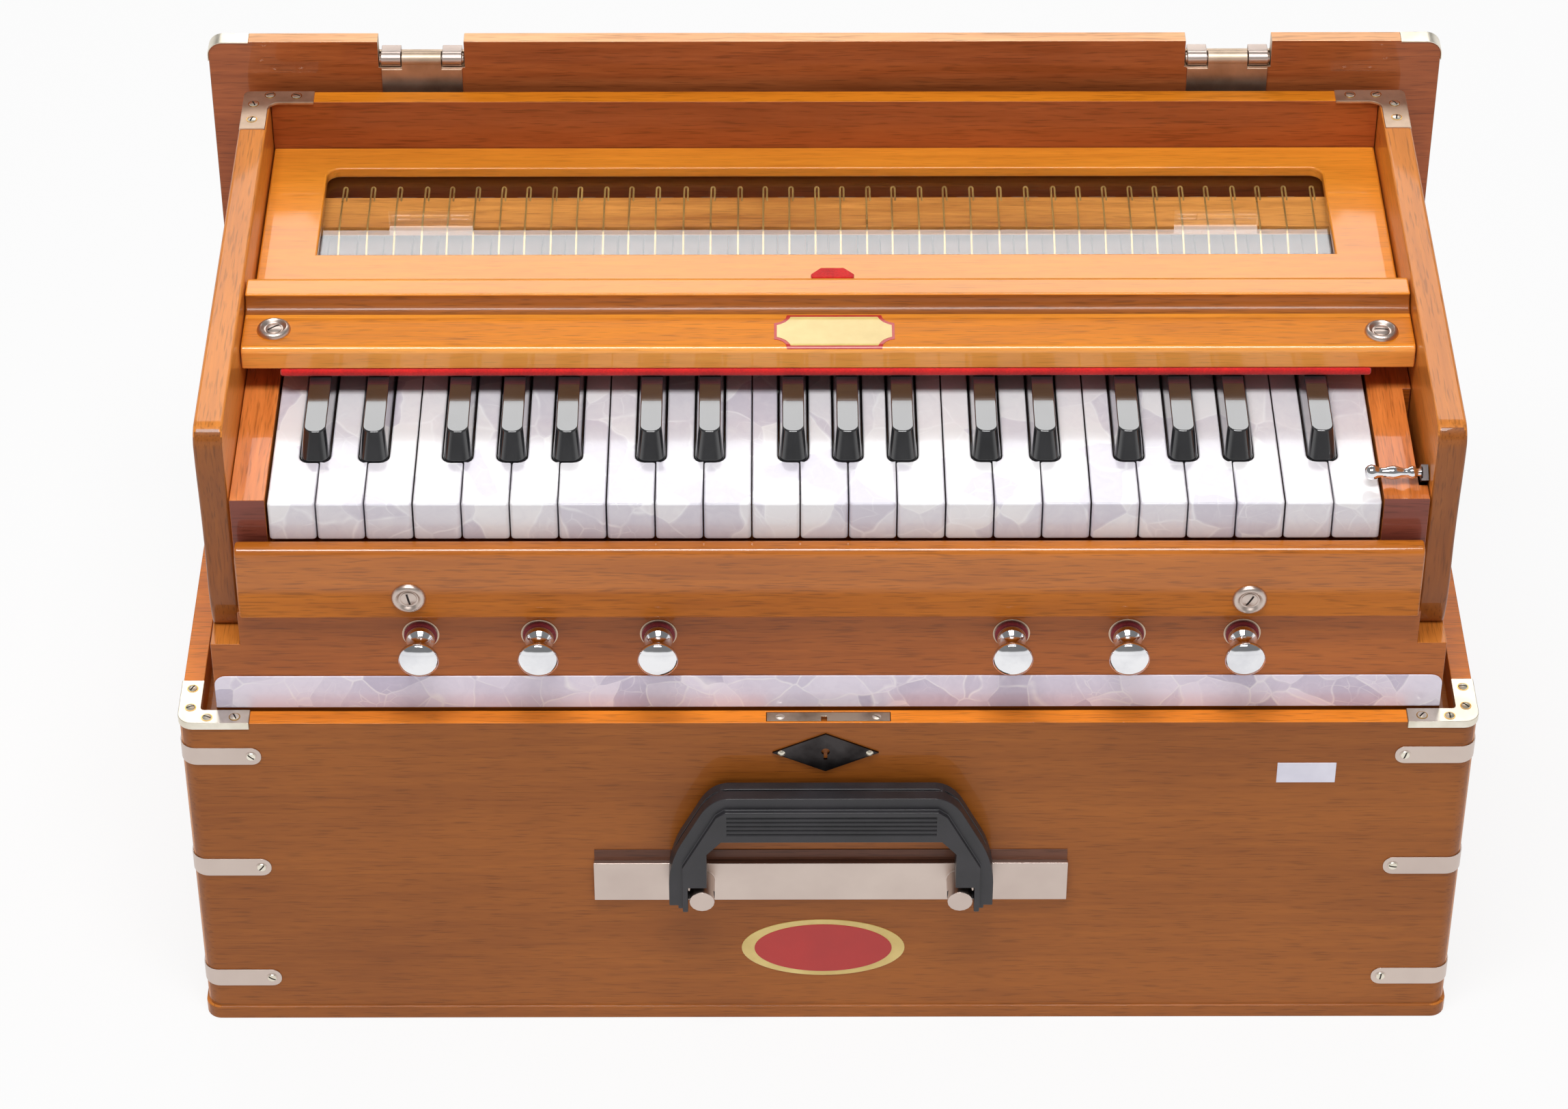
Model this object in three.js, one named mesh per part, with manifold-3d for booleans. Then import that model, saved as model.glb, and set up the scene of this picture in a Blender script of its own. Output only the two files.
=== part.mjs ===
// A hand-pumped reed organ (Indian harmonium) of the suitcase kind, in millimetres, +Z up.
// The player sits in front of it, at -Y, and pumps the tall board behind it, at +Y.
// Heights are measured from the table and depths from the front face of the case.

import * as THREE from 'three';
import { mergeVertices } from 'three/addons/utils/BufferGeometryUtils.js';
import Module from 'manifold-3d';

const wasm = await Module();
wasm.setup();

// Fits and working values
const seat = 0.3; // gap between pieces that rest on or against each other
const overrun = 2; // how far a cutter runs past the face that it cuts
const weld = 0.4; // how deep one piece sinks into another that it is joined to
const arcSteps = 6; // straight steps in a quarter round
const turnedSides = 16; // sides of a turned piece

// Keyboard: the white keys' pitch sets the width of the whole instrument
const keyCount = 39;
const whiteKeyCount = 23;
const keyPitch = 20.5;
const keySideGap = 0.5;
const keyFrontGap = 1;
const keyRise = 10;
const whiteThickness = 19;
const whiteHeadLength = 29.1;
const capLength = 101.7;
const keyTailThickness = 11;
const keyTailClearance = 12;
const keyBalanceLength = 133.7;
const blackWidth = 12.4;
const blackTopWidth = 9.4;
const blackRise = 11;
const blackSetBack = 30;
const blackFrontSlope = 6.2;
// Semitones from C that are white keys, and where each black key stands past its C, in white pitches
const whiteSteps = [0, 2, 4, 5, 7, 9, 11];
const blackPlaceShares = { 1: 0.893, 3: 2.117, 6: 3.863, 8: 5.0, 10: 6.146 };

// Key blocks at both ends of the keyboard
const leftBlockWidth = 15.75;
const rightBlockWidth = 20.15;
const blockRise = 1;
const blockSetBack = 1.7;
const blockLength = 119;
const blockSideGap = 0.8;

// Case: an open tub of boards on a base board
const caseHeight = 178.5;
const caseCornerRadius = 7;
const frontWall = 8.5;
const sideWall = 9;
const rearWall = 8.5;
const baseThickness = 7;
const baseLip = 1;
const ledgeWidth = 15;
const ledgeHeight = 12;
const lockRecessLength = 54;
const lockRecessWidth = 6;
const lockRecessDepth = 2;
const lockRecessInset = 1.3;

// Reed chest: the box that stands in the case and carries the keyboard
const chestSideClearance = 7;
const chestFrontClearance = 2;
const chestDepth = 262;
const chestSunk = 13.5;
const chestWall = 10;
const chestBackWall = 8.5;
const chestHeight = 160;
const chestSideHeight = 49.7;
const panelHeight = 67.7;
const deckHeight = 93;
const deckThickness = 12;
const deckFrontRail = 10;
const deckFrontRailDrop = 58;
const reedBankCount = 2;
const reedBankWidth = 30;
const reedBankHeight = 14;
const reedBankInset = 14;
const reedBankSetBack = 44.4;
const reedBankStep = 52;
const balanceRailWidth = 8;
const balanceRailGap = 0.4;
const palletBoardDepth = 59;

// Cheeks: the glossy side boards above the chest
const cheekThickness = 12.5;
const cheekSetBack = 9.5;
const cheekNoseBulge = 3.5;
const cheekFootSetBack = 4;
const cheekCornerRadius = 9;
// Heights on a cheek's front edge, as shares of the cheek's height
const noseLowShare = 0.75;
const waistShare = 0.55;
const footShare = 0.3;
const footLowShare = 0.2;
const toeShare = 0.08;

// Key slip: the rounded rail in front of the keys
const slipOverhang = 4.7;
const slipThickness = 9.5;
const slipHeight = 37;
const slipEdgeRadius = 4;
const slipEndClearance = 1.8;

// Name rail: the moulding behind the visible keys
const keyShown = 75.2;
const railClearance = 4;
const railDepth = 43.5;
const railShelfHeight = 11;
const railShelfDepth = 22;
const railBeadHeight = 18.5;
const railBeadSetBack = 29.5;
const railNoseRadius = 3;
const railBeadRadius = 4;
const railEndClearance = 0.5;

// Glazed cover over the key springs
const windowSunk = 2;
const windowThickness = 8;
const windowFrontGap = 0.6;
const windowFrontMargin = 43.9;
const windowBackMargin = 16.7;
const windowSideMargin = 25.9;
const windowCornerRadius = 6;
const windowEndClearance = 0.6;
const glassThickness = 2.5;
const glassRebate = 3;

// Spring rail with one wire spring for each key
const springRailSetForward = 26.5;
const springRailDepth = 23.5;
const springRailClearance = 4.4;
const springRailThickness = 5.2;
const springWire = 1.3;
const springSpread = 3.4;
const springLoopReach = 7;
const springLoopRise = 0.3;
const springArmReach = 18;
const springArmClearance = 3.1;
const springKeyWidth = 12;
const springRootReach = 4;
const springLoopSteps = 8;
const springSides = 5;
const gapSamples = 200;

// Stop knobs, placed by shares of half the chest's width
const stopPlaceShares = [-0.6585, -0.467, -0.275, 0.2946, 0.4814, 0.667];
const stopRise = 55.5;
const stopCapRadius = 8.9;
const stopCapHalfDepth = 4.2;
const stopCapReach = 17.1;
const stopCapSteps = 7;
const stopNeckRadius = 4.4;
const stopCollarRadius = 6.3;
const stopCollarLength = 2.6;
const stopCollarGap = 2.2;
const stopRodRadius = 2.9;
const stopRodLength = 38;
const stopHoleClearance = 0.4;

// Coupler lever beside the highest key
const leverPivotSetBack = 52;
const leverPivotDrop = 18;
const leverHandleSetBack = 10.5;
const leverHandleRise = 7;
const leverHandleLength = 24.5;
const leverHandleRadius = 3.5;
// The handle's turned outline: shares of its radius and of its length
const leverTurningShares = [[0, 0], [0.75, 0.04], [1, 0.14], [0.95, 0.25], [0.62, 0.36], [0.6, 0.5],
  [0.85, 0.72], [0.95, 0.82], [0.55, 0.88], [0.75, 0.94], [0.7, 1], [0, 1]];
const leverStemWidth = 7;
const leverStemThickness = 3;
const leverPinRadius = 2;
const leverPinLength = 6;
const leverPinClearance = 0.4;
const leverSlotWidth = 4;
const leverSlotSetBack = 9.5;
const leverSlotLength = 67.5;

// Carrying handle on the front of the case
const handleX = 1.5;
const handlePlateLength = 211;
const handlePlateHeight = 22.2;
const handlePlateDrop = 102.9;
const handlePlateThickness = 2.5;
const lugSpread = 57.2;
const lugRadius = 5.6;
const lugLength = 14.5;
const handlePivotReach = 9.8;
const handlePivotRise = 12.4;
const handlePinRadius = 1.8;
const handlePinClearance = 0.4;
const gripFrontReach = 4.4;
const gripBackReach = 9.2;
const gripFootDrop = 6.5;
const gripHeight = 59;
const gripTopHalf = 49;
const gripCornerHeight = 53.5;
const gripCornerHalf = 55.5;
const gripLegHeight = 21;
const gripLegHalf = 71.8;
const gripBarRise = 35.3;
const gripBarHalf = 48.7;
const gripThroatRise = 28;
const gripThroatHalf = 55;
const gripLegClearance = 0.6;

// Bellows and the pumping board behind the chest
const bellowsFolded = 6.9;
const bellowsFolds = 3;
const bellowsSideMargin = 14.5;
const bellowsLift = 5;
const bellowsLeafGap = 0.8;
const bellowsFoldDepth = 3;
const boardThickness = 7.5;
const boardRise = 22.3;
const boardCornerRadius = 6.5;

// Lid hinges on the pumping board, placed by a share of half the board's width
const hingePlaceShare = 0.655;
const hingeAxisDrop = 10.5;
const hingeAxisInset = 2.2;
const hingeWidth = 37;
const hingeNotchWidth = 39.4;
const hingeNotchDepth = 8.8;
const knuckleRadius = 3.5;
const knuckleClearance = 0.4;
const outerKnuckleLength = 9;
const hingePinRadius = 1.6;
const hingePinHeadRadius = 2.4;
const hingePinHeadLength = 0.9;
const leafThickness = 1;
const leafLength = 20;

// Lid: a shallow tray that hangs behind the pumping board
const lidLength = 272;
const lidThickness = 8;
const lidRimDepth = 20;
const lidDrop = 9.5;
const lidStandOff = 1.5;
const lidCornerRadius = 7;

// Places worked out from the sizes above: widths
const betweenCheeks = (leftBlockWidth + whiteKeyCount * keyPitch + rightBlockWidth) / 2;
const cheekInner = betweenCheeks + seat;
const chestHalf = cheekInner + cheekThickness;
const caseWidth = 2 * (chestHalf + chestSideClearance + sideWall);
const keyRowLeft = leftBlockWidth - betweenCheeks;
const keyRowRight = betweenCheeks - rightBlockWidth;
const stopPlaces = stopPlaceShares.map((share) => share * chestHalf);
const bellowsHalfWidth = chestHalf - bellowsSideMargin;
const hingeX = (hingePlaceShare * caseWidth) / 2;

// Depths
const chestFront = frontWall + chestFrontClearance;
const chestBack = chestFront + chestDepth;
const chestBackInner = chestBack - chestBackWall;
const cheekFront = chestFront + cheekSetBack;
const slipFront = chestFront - slipOverhang;
const slipBack = slipFront + slipThickness;
const keyFront = slipBack + keyFrontGap;
const capEnd = keyFront + capLength;
const keyTailEnd = chestBackInner - keyTailClearance;
const balanceRailY = keyFront + keyBalanceLength;
const blackFront = keyFront + blackSetBack;
const blockFront = keyFront + blockSetBack;
const railFront = keyFront + keyShown;
const railBack = railFront + railDepth;
const windowFront = railBack + windowFrontGap;
const windowBack = chestBackInner - seat;
const windowOpeningFront = windowFront + windowFrontMargin;
const windowOpeningBack = windowBack - windowBackMargin;
const windowOpeningWidth = 2 * (betweenCheeks - windowSideMargin);
const springRailBack = chestBackInner - springRailSetForward;
const springRailFront = springRailBack - springRailDepth;
const springArmEnd = springRailFront - springArmReach;
const leverPivotY = blockFront + leverPivotSetBack;
const leverHandleY = blockFront + leverHandleSetBack;
const leverSlotFront = blockFront + leverSlotSetBack;
const boardFront = chestBack + seat + bellowsFolded + seat;
const boardBack = boardFront + boardThickness;
const hingeAxisY = boardFront + hingeAxisInset;
const lidFace = boardBack + lidStandOff;
const baseBack = boardBack + baseLip;
const originY = (baseBack - baseLip) / 2;
const handlePivotY = -seat - handlePlateThickness - handlePivotReach;

// Heights
const chestBottom = caseHeight - chestSunk;
const chestTop = chestBottom + chestHeight;
const chestSideTop = chestBottom + chestSideHeight;
const cheekBottom = chestSideTop + seat;
const panelTop = chestBottom + panelHeight;
const slipBottom = panelTop + seat;
const deckTop = chestBottom + deckHeight;
const keyBottom = deckTop + keyRise;
const whiteTop = keyBottom + whiteThickness;
const blackTop = whiteTop + blackRise;
const keyTailTop = keyBottom + keyTailThickness;
const blockTop = whiteTop + blockRise;
const railBottom = blackTop + railClearance;
const windowTop = railBottom - windowSunk;
const springRailBottom = keyTailTop + springRailClearance;
const springRailTop = springRailBottom + springRailThickness;
const springArmHeight = keyTailTop + springArmClearance;
const stopHeight = chestBottom + stopRise;
const leverPivotZ = deckTop - leverPivotDrop;
const leverHandleZ = whiteTop + leverHandleRise;
const handlePlateBottom = caseHeight - handlePlateDrop;
const handlePivotZ = handlePlateBottom + handlePivotRise;
const boardBottom = baseThickness + seat;
const boardTop = chestTop + boardRise;
const hingeAxisZ = boardTop - hingeAxisDrop;
const lidTop = hingeAxisZ - lidDrop;
const bellowsBottom = baseThickness + bellowsLift;
const bellowsTop = hingeAxisZ - leafLength - bellowsLeafGap;

// Turns a closed geometry into a solid for joins and cuts
function solidOf(geometry) {
  const bare = geometry.index ? geometry.toNonIndexed() : geometry.clone();
  bare.deleteAttribute('normal');
  bare.deleteAttribute('uv');
  const merged = mergeVertices(bare);
  return new wasm.Manifold(new wasm.Mesh({
    numProp: 3,
    vertProperties: new Float32Array(merged.attributes.position.array),
    triVerts: new Uint32Array(merged.index.array),
  }));
}

// Turns a solid back into a geometry
function geometryOf(solid) {
  const mesh = solid.getMesh();
  const geometry = new THREE.BufferGeometry();
  geometry.setAttribute('position', new THREE.BufferAttribute(new Float32Array(mesh.vertProperties), mesh.numProp));
  geometry.setIndex(new THREE.BufferAttribute(new Uint32Array(mesh.triVerts), 1));
  geometry.computeVertexNormals();
  return geometry;
}

function join(first, ...others) {
  return others.reduce((whole, other) => whole.add(other), first);
}

function cut(whole, ...cutters) {
  return cutters.reduce((rest, cutter) => rest.subtract(cutter), whole);
}

// A block between two corners
function block(x0, x1, y0, y1, z0, z1) {
  const geometry = new THREE.BoxGeometry(x1 - x0, y1 - y0, z1 - z0);
  geometry.translate((x0 + x1) / 2, (y0 + y1) / 2, (z0 + z1) / 2);
  return solidOf(geometry);
}

function extruded(shape, depth) {
  return new THREE.ExtrudeGeometry(shape, { depth, bevelEnabled: false, curveSegments: arcSteps });
}

// A shape drawn in depth and height, run along X
function alongX(shape, x0, x1) {
  const geometry = extruded(shape, x1 - x0);
  geometry.applyMatrix4(new THREE.Matrix4().set(0, 0, 1, x0, 1, 0, 0, 0, 0, 1, 0, 0, 0, 0, 0, 1));
  return solidOf(geometry);
}

// A shape drawn in X and height, run along Y
function alongY(shape, y0, y1) {
  const geometry = extruded(shape, y1 - y0);
  geometry.applyMatrix4(new THREE.Matrix4().set(1, 0, 0, 0, 0, 0, -1, y1, 0, 1, 0, 0, 0, 0, 0, 1));
  return solidOf(geometry);
}

// A shape drawn in X and Y, run upwards
function alongZ(shape, z0, z1) {
  const geometry = extruded(shape, z1 - z0);
  geometry.translate(0, 0, z0);
  return solidOf(geometry);
}

// A round bar between two places on a line along X
function barX(radius, x0, x1, y, z, sides = turnedSides) {
  const geometry = new THREE.CylinderGeometry(radius, radius, x1 - x0, sides);
  geometry.rotateZ(-Math.PI / 2);
  geometry.translate((x0 + x1) / 2, y, z);
  return solidOf(geometry);
}

// A round bar between two places on a line along Y
function barY(radius, y0, y1, x, z, sides = turnedSides) {
  const geometry = new THREE.CylinderGeometry(radius, radius, y1 - y0, sides);
  geometry.translate(x, (y0 + y1) / 2, z);
  return solidOf(geometry);
}

// A rectangle with its four corners rounded by the radii given, anticlockwise from the lower left
function roundedRectangle(x0, x1, y0, y1, radii) {
  const [lowerLeft, lowerRight, upperRight, upperLeft] = radii;
  const shape = new THREE.Shape();
  shape.moveTo(x0 + lowerLeft, y0);
  shape.lineTo(x1 - lowerRight, y0);
  if (lowerRight > 0) shape.absarc(x1 - lowerRight, y0 + lowerRight, lowerRight, -Math.PI / 2, 0);
  shape.lineTo(x1, y1 - upperRight);
  if (upperRight > 0) shape.absarc(x1 - upperRight, y1 - upperRight, upperRight, 0, Math.PI / 2);
  shape.lineTo(x0 + upperLeft, y1);
  if (upperLeft > 0) shape.absarc(x0 + upperLeft, y1 - upperLeft, upperLeft, Math.PI / 2, Math.PI);
  shape.lineTo(x0, y0 + lowerLeft);
  if (lowerLeft > 0) shape.absarc(x0 + lowerLeft, y0 + lowerLeft, lowerLeft, Math.PI, 1.5 * Math.PI);
  return shape;
}

// Case

function outerCase() {
  const half = caseWidth / 2;
  const inner = half - sideWall;
  const sideEnd = boardFront - seat;
  const fronts = [caseCornerRadius, caseCornerRadius, 0, 0];
  const base = alongZ(roundedRectangle(-half - baseLip, half + baseLip, -baseLip, baseBack, fronts), 0, baseThickness);
  const walls = alongZ(roundedRectangle(-half, half, 0, sideEnd, fronts), baseThickness - weld, caseHeight);
  const inside = block(-inner, inner, frontWall, sideEnd + overrun, baseThickness, caseHeight + overrun);
  const rear = block(-inner - weld, inner + weld, chestBack - rearWall, chestBack, baseThickness - weld,
    chestBottom - seat);
  const ledgeEnd = chestBack - rearWall;
  const ledge = (x0, x1) => block(x0, x1, frontWall - weld, ledgeEnd + weld,
    chestBottom - seat - ledgeHeight, chestBottom - seat);
  const lockRecess = block(-lockRecessLength / 2, lockRecessLength / 2, lockRecessInset,
    lockRecessInset + lockRecessWidth, caseHeight - lockRecessDepth, caseHeight + overrun);
  const shell = join(base, cut(walls, inside), rear);
  return cut(join(shell, ledge(-inner - weld, -inner + ledgeWidth), ledge(inner - ledgeWidth, inner + weld)),
    lockRecess);
}

// Reed chest, with its deck, reed banks, balance rail, pallet board and key blocks

function chest() {
  const sides = (x0, x1) => block(x0, x1, chestFront, chestBack, chestBottom, chestSideTop);
  const panel = join(
    block(-chestHalf, chestHalf, chestFront, chestFront + chestWall, chestBottom, chestSideTop),
    block(-betweenCheeks, betweenCheeks, chestFront, chestFront + chestWall, chestBottom, panelTop));
  const back = join(
    block(-chestHalf, chestHalf, chestBackInner, chestBack, chestBottom, chestSideTop),
    block(-betweenCheeks, betweenCheeks, chestBackInner, chestBack, chestBottom, chestTop));
  const deckFront = slipBack + seat;
  const deck = block(-betweenCheeks, betweenCheeks, deckFront, chestBackInner + weld, deckTop - deckThickness,
    deckTop);
  const frontRail = block(-betweenCheeks, betweenCheeks, deckFront, deckFront + deckFrontRail,
    deckTop - deckFrontRailDrop, deckTop);
  const balanceRail = block(-betweenCheeks, betweenCheeks, balanceRailY - balanceRailWidth / 2,
    balanceRailY + balanceRailWidth / 2, deckTop - weld, keyBottom - balanceRailGap);
  const palletBoard = block(-betweenCheeks, betweenCheeks, chestBackInner - palletBoardDepth,
    chestBackInner + weld, deckTop - weld, keyBottom - seat);
  let body = join(sides(-chestHalf, -cheekInner), sides(cheekInner, chestHalf), panel, back, deck, frontRail,
    balanceRail, palletBoard);
  for (let i = 0; i < reedBankCount; i += 1) {
    const front = deckFront + reedBankSetBack + i * reedBankStep;
    body = body.add(block(-betweenCheeks + reedBankInset, betweenCheeks - reedBankInset, front,
      front + reedBankWidth, deckTop - deckThickness - reedBankHeight, deckTop - deckThickness + weld));
  }
  body = join(body, keyBlock(-betweenCheeks, keyRowLeft - blockSideGap),
    keyBlock(keyRowRight + blockSideGap, betweenCheeks));
  const leverSlot = block(cheekInner - leverSlotWidth, cheekInner + overrun, leverSlotFront,
    leverSlotFront + leverSlotLength,    deckTop - deckThickness - overrun, blockTop + overrun);
  const holes = stopPlaces.map((x) => barY(stopRodRadius + stopHoleClearance, chestFront - overrun,
    deckFront + deckFrontRail + overrun, x, stopHeight));
  return cut(body, leverSlot, ...holes);
}

function keyBlock(x0, x1) {
  return block(x0, x1, blockFront, blockFront + blockLength, deckTop - weld, blockTop);
}

// A cheek: level top, rounded nose, front edge with a slight S, drawn in depth and height
function cheek(x0, x1) {
  const nose = cheekFront - cheekNoseBulge;
  const height = chestTop - cheekBottom;
  const shape = new THREE.Shape();
  shape.moveTo(cheekFront + cheekFootSetBack, cheekBottom);
  shape.lineTo(chestBack, cheekBottom);
  shape.lineTo(chestBack, chestTop);
  shape.lineTo(nose + cheekCornerRadius, chestTop);
  shape.absarc(nose + cheekCornerRadius, chestTop - cheekCornerRadius, cheekCornerRadius, Math.PI / 2, Math.PI);
  shape.bezierCurveTo(nose, cheekBottom + height * noseLowShare, cheekFront + cheekNoseBulge / 2,
    cheekBottom + height * waistShare, cheekFront, cheekBottom + height * footShare);
  shape.bezierCurveTo(cheekFront - cheekNoseBulge / 4, cheekBottom + height * footLowShare,
    cheekFront, cheekBottom + height * toeShare, cheekFront + cheekFootSetBack, cheekBottom);
  return alongX(shape, x0, x1);
}

function rightCheek() {
  const pinHole = barX(leverPinRadius + leverPinClearance, cheekInner - overrun, cheekInner + leverPinLength + seat,
    leverPivotY, leverPivotZ);
  return cut(cheek(cheekInner, chestHalf), pinHole);
}

function keySlip() {
  const end = cheekInner - slipEndClearance;
  const radii = [0, 0, slipEdgeRadius, slipEdgeRadius];
  return alongX(roundedRectangle(slipFront, slipBack, slipBottom, slipBottom + slipHeight, radii), -end, end);
}

// Keyboard

// Where each key of the row stands: its name, its colour and its sides in X
function keyPlaces() {
  const places = [];
  for (let i = 0; i < keyCount; i += 1) {
    const octave = Math.floor(i / 12);
    const step = i % 12;
    const left = keyRowLeft + octave * whiteSteps.length * keyPitch;
    const name = `key_${String(i + 1).padStart(2, '0')}`;
    if (whiteSteps.includes(step)) {
      const x0 = left + whiteSteps.indexOf(step) * keyPitch;
      places.push({ name, white: true, x0, x1: x0 + keyPitch });
    } else {
      const centre = left + blackPlaceShares[step] * keyPitch;
      places.push({ name, white: false, x0: centre - blackWidth / 2, x1: centre + blackWidth / 2 });
    }
  }
  return places;
}

// The tail of a white key fills what its black neighbours leave
function tailSides(places, index) {
  const place = places[index];
  const before = places[index - 1];
  const after = places[index + 1];
  const x0 = before && !before.white ? before.x1 + keySideGap : place.x0 + keySideGap / 2;
  const x1 = after && !after.white ? after.x0 - keySideGap : place.x1 - keySideGap / 2;
  return [x0, x1];
}

// A key's outline from the side: front, top, and a lower tail from under the name rail backwards
function keyProfile(front, top, slope = 0) {
  const points = [[front, keyBottom], [keyTailEnd, keyBottom], [keyTailEnd, keyTailTop],
    [capEnd, keyTailTop], [capEnd, top], [front + slope, top]];
  if (slope > 0) points.push([front, whiteTop]);
  return new THREE.Shape(points.map(([y, z]) => new THREE.Vector2(y, z)));
}

function whiteKey(places, index) {
  const head0 = places[index].x0 + keySideGap / 2;
  const head1 = places[index].x1 - keySideGap / 2;
  const [tail0, tail1] = tailSides(places, index);
  const headEnd = keyFront + whiteHeadLength;
  const notch = (x0, x1) => block(x0, x1, headEnd, keyTailEnd + overrun, keyBottom - overrun,
    whiteTop + overrun);
  let key = alongX(keyProfile(keyFront, whiteTop), head0, head1);
  if (tail0 > head0) key = cut(key, notch(head0 - overrun, tail0));
  if (tail1 < head1) key = cut(key, notch(tail1, head1 + overrun));
  return key;
}

function blackKey({ x0, x1 }) {
  const narrowing = (blackWidth - blackTopWidth) / 2;
  const lean = narrowing / (blackTop - whiteTop);
  const low = whiteTop - overrun;
  const high = blackTop + overrun;
  const bevel = (side, x) => alongY(new THREE.Shape([
    new THREE.Vector2(x - side * lean * (low - whiteTop), low),
    new THREE.Vector2(x - side * lean * (high - whiteTop), high),
    new THREE.Vector2(x + side * overrun, high),
    new THREE.Vector2(x + side * overrun, low)]), blackFront - overrun, capEnd + overrun);
  const body = alongX(keyProfile(blackFront, blackTop, blackFrontSlope), x0, x1);
  return cut(body, bevel(-1, x0), bevel(1, x1));
}

// Name rail: nose, shelf for the maker's plate, cove and bead, drawn in depth and height
function nameRail() {
  const end = cheekInner - railEndClearance;
  const shelfTop = railBottom + railShelfHeight;
  const beadTop = railBottom + railBeadHeight;
  const shape = new THREE.Shape();
  shape.moveTo(railFront, railBottom);
  shape.lineTo(railBack, railBottom);
  shape.lineTo(railBack, beadTop - railBeadRadius);
  shape.absarc(railBack - railBeadRadius, beadTop - railBeadRadius, railBeadRadius, 0, Math.PI / 2);
  shape.lineTo(railFront + railBeadSetBack, beadTop);
  shape.quadraticCurveTo(railFront + railBeadSetBack, shelfTop, railFront + railShelfDepth, shelfTop);
  shape.lineTo(railFront + railNoseRadius, shelfTop);
  shape.absarc(railFront + railNoseRadius, shelfTop - railNoseRadius, railNoseRadius, Math.PI / 2, Math.PI);
  return alongX(shape, -end, end);
}

// Glazed cover

function windowFrame() {
  const end = cheekInner - windowEndClearance;
  const half = windowOpeningWidth / 2;
  const bottom = windowTop - windowThickness;
  const slab = block(-end, end, windowFront, windowBack, bottom, windowTop);
  const radii = [0, 0, windowCornerRadius, windowCornerRadius];
  const opening = alongZ(roundedRectangle(-half, half, windowOpeningFront, windowOpeningBack, radii),
    bottom - overrun, windowTop + overrun);
  const rebate = block(-half - glassRebate, half + glassRebate, windowOpeningFront - glassRebate,
    windowOpeningBack + glassRebate, bottom - overrun, bottom + glassThickness + seat);
  return cut(slab, opening, rebate);
}

function windowGlass() {
  const half = windowOpeningWidth / 2 + glassRebate - seat;
  const bottom = windowTop - windowThickness;
  return block(-half, half, windowOpeningFront - glassRebate + seat, windowOpeningBack + glassRebate - seat,
    bottom, bottom + glassThickness);
}

// The route of one wire spring: a short leg rooted in the rail, a loop behind the rail and a long arm
// that reaches down over the key's tail
function springRoute(x) {
  const half = springSpread / 2;
  const loopY = springRailBack + springLoopReach - half;
  const loopZ = springRailTop + springWire / 2 + springLoopRise;
  const points = [
    new THREE.Vector3(x + half, springRailBack - springRootReach, springRailTop - springWire),
    new THREE.Vector3(x + half, springRailBack, loopZ)];
  for (let i = 0; i <= springLoopSteps; i += 1) {
    const angle = (i / springLoopSteps) * Math.PI;
    points.push(new THREE.Vector3(x + Math.cos(angle) * half, loopY + Math.sin(angle) * half,
      loopZ + Math.sin(angle) * springWire / 2));
  }
  points.push(new THREE.Vector3(x - half, springRailFront, loopZ),
    new THREE.Vector3(x - half, springArmEnd, springArmHeight));
  return points;
}

// The least distance between stretches of a spring that aren't neighbours, less the wire's thickness
function leastGap(route) {
  const dense = new THREE.CurvePath();
  for (let i = 1; i < route.length; i += 1) {
    dense.add(new THREE.LineCurve3(route[i - 1], route[i]));
  }
  const points = dense.getSpacedPoints(gapSamples);
  const apart = Math.ceil((2 * springSpread * gapSamples) / dense.getLength());
  let least = Infinity;
  points.forEach((point, i) => {
    points.slice(i + apart).forEach((other) => {
      least = Math.min(least, point.distanceTo(other) - springWire);
    });
  });
  return least;
}

// A tube of few sides through a list of points, closed at both ends
function wire(points, radius, sides) {
  const positions = [];
  const index = [];
  const last = points.length - 1;
  points.forEach((point, i) => {
    const ahead = points[Math.min(i + 1, last)].clone().sub(points[Math.max(i - 1, 0)]).normalize();
    const across = new THREE.Vector3().crossVectors(ahead, new THREE.Vector3(0, 0, 1)).normalize();
    const up = new THREE.Vector3().crossVectors(across, ahead);
    for (let j = 0; j < sides; j += 1) {
      const angle = (j / sides) * 2 * Math.PI;
      const rim = point.clone().addScaledVector(across, radius * Math.cos(angle))
        .addScaledVector(up, radius * Math.sin(angle));
      positions.push(rim.x, rim.y, rim.z);
    }
  });
  for (let i = 0; i < last; i += 1) {
    for (let j = 0; j < sides; j += 1) {
      const a = i * sides + j;
      const b = i * sides + ((j + 1) % sides);
      index.push(a, a + sides, b, b, a + sides, b + sides);
    }
  }
  for (let j = 1; j < sides - 1; j += 1) {
    index.push(0, j, j + 1, last * sides, last * sides + j + 1, last * sides + j);
  }
  const geometry = new THREE.BufferGeometry();
  geometry.setAttribute('position', new THREE.Float32BufferAttribute(positions, 3));
  geometry.setIndex(index);
  return solidOf(geometry);
}

function springRail(places) {
  const rail = block(-betweenCheeks, betweenCheeks, springRailFront, springRailBack, springRailBottom,
    springRailTop);
  const routes = places.map((spot, index) => {
    const [x0, x1] = spot.white ? tailSides(places, index) : [spot.x0, spot.x1];
    return springRoute(x0 + Math.min(x1 - x0, springKeyWidth) / 2);
  });
  console.log(`least gap of a key spring to itself: ${leastGap(routes[0]).toFixed(2)} mm`);
  return join(rail, ...routes.map((route) => wire(route, springWire / 2, springSides)));
}

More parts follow.
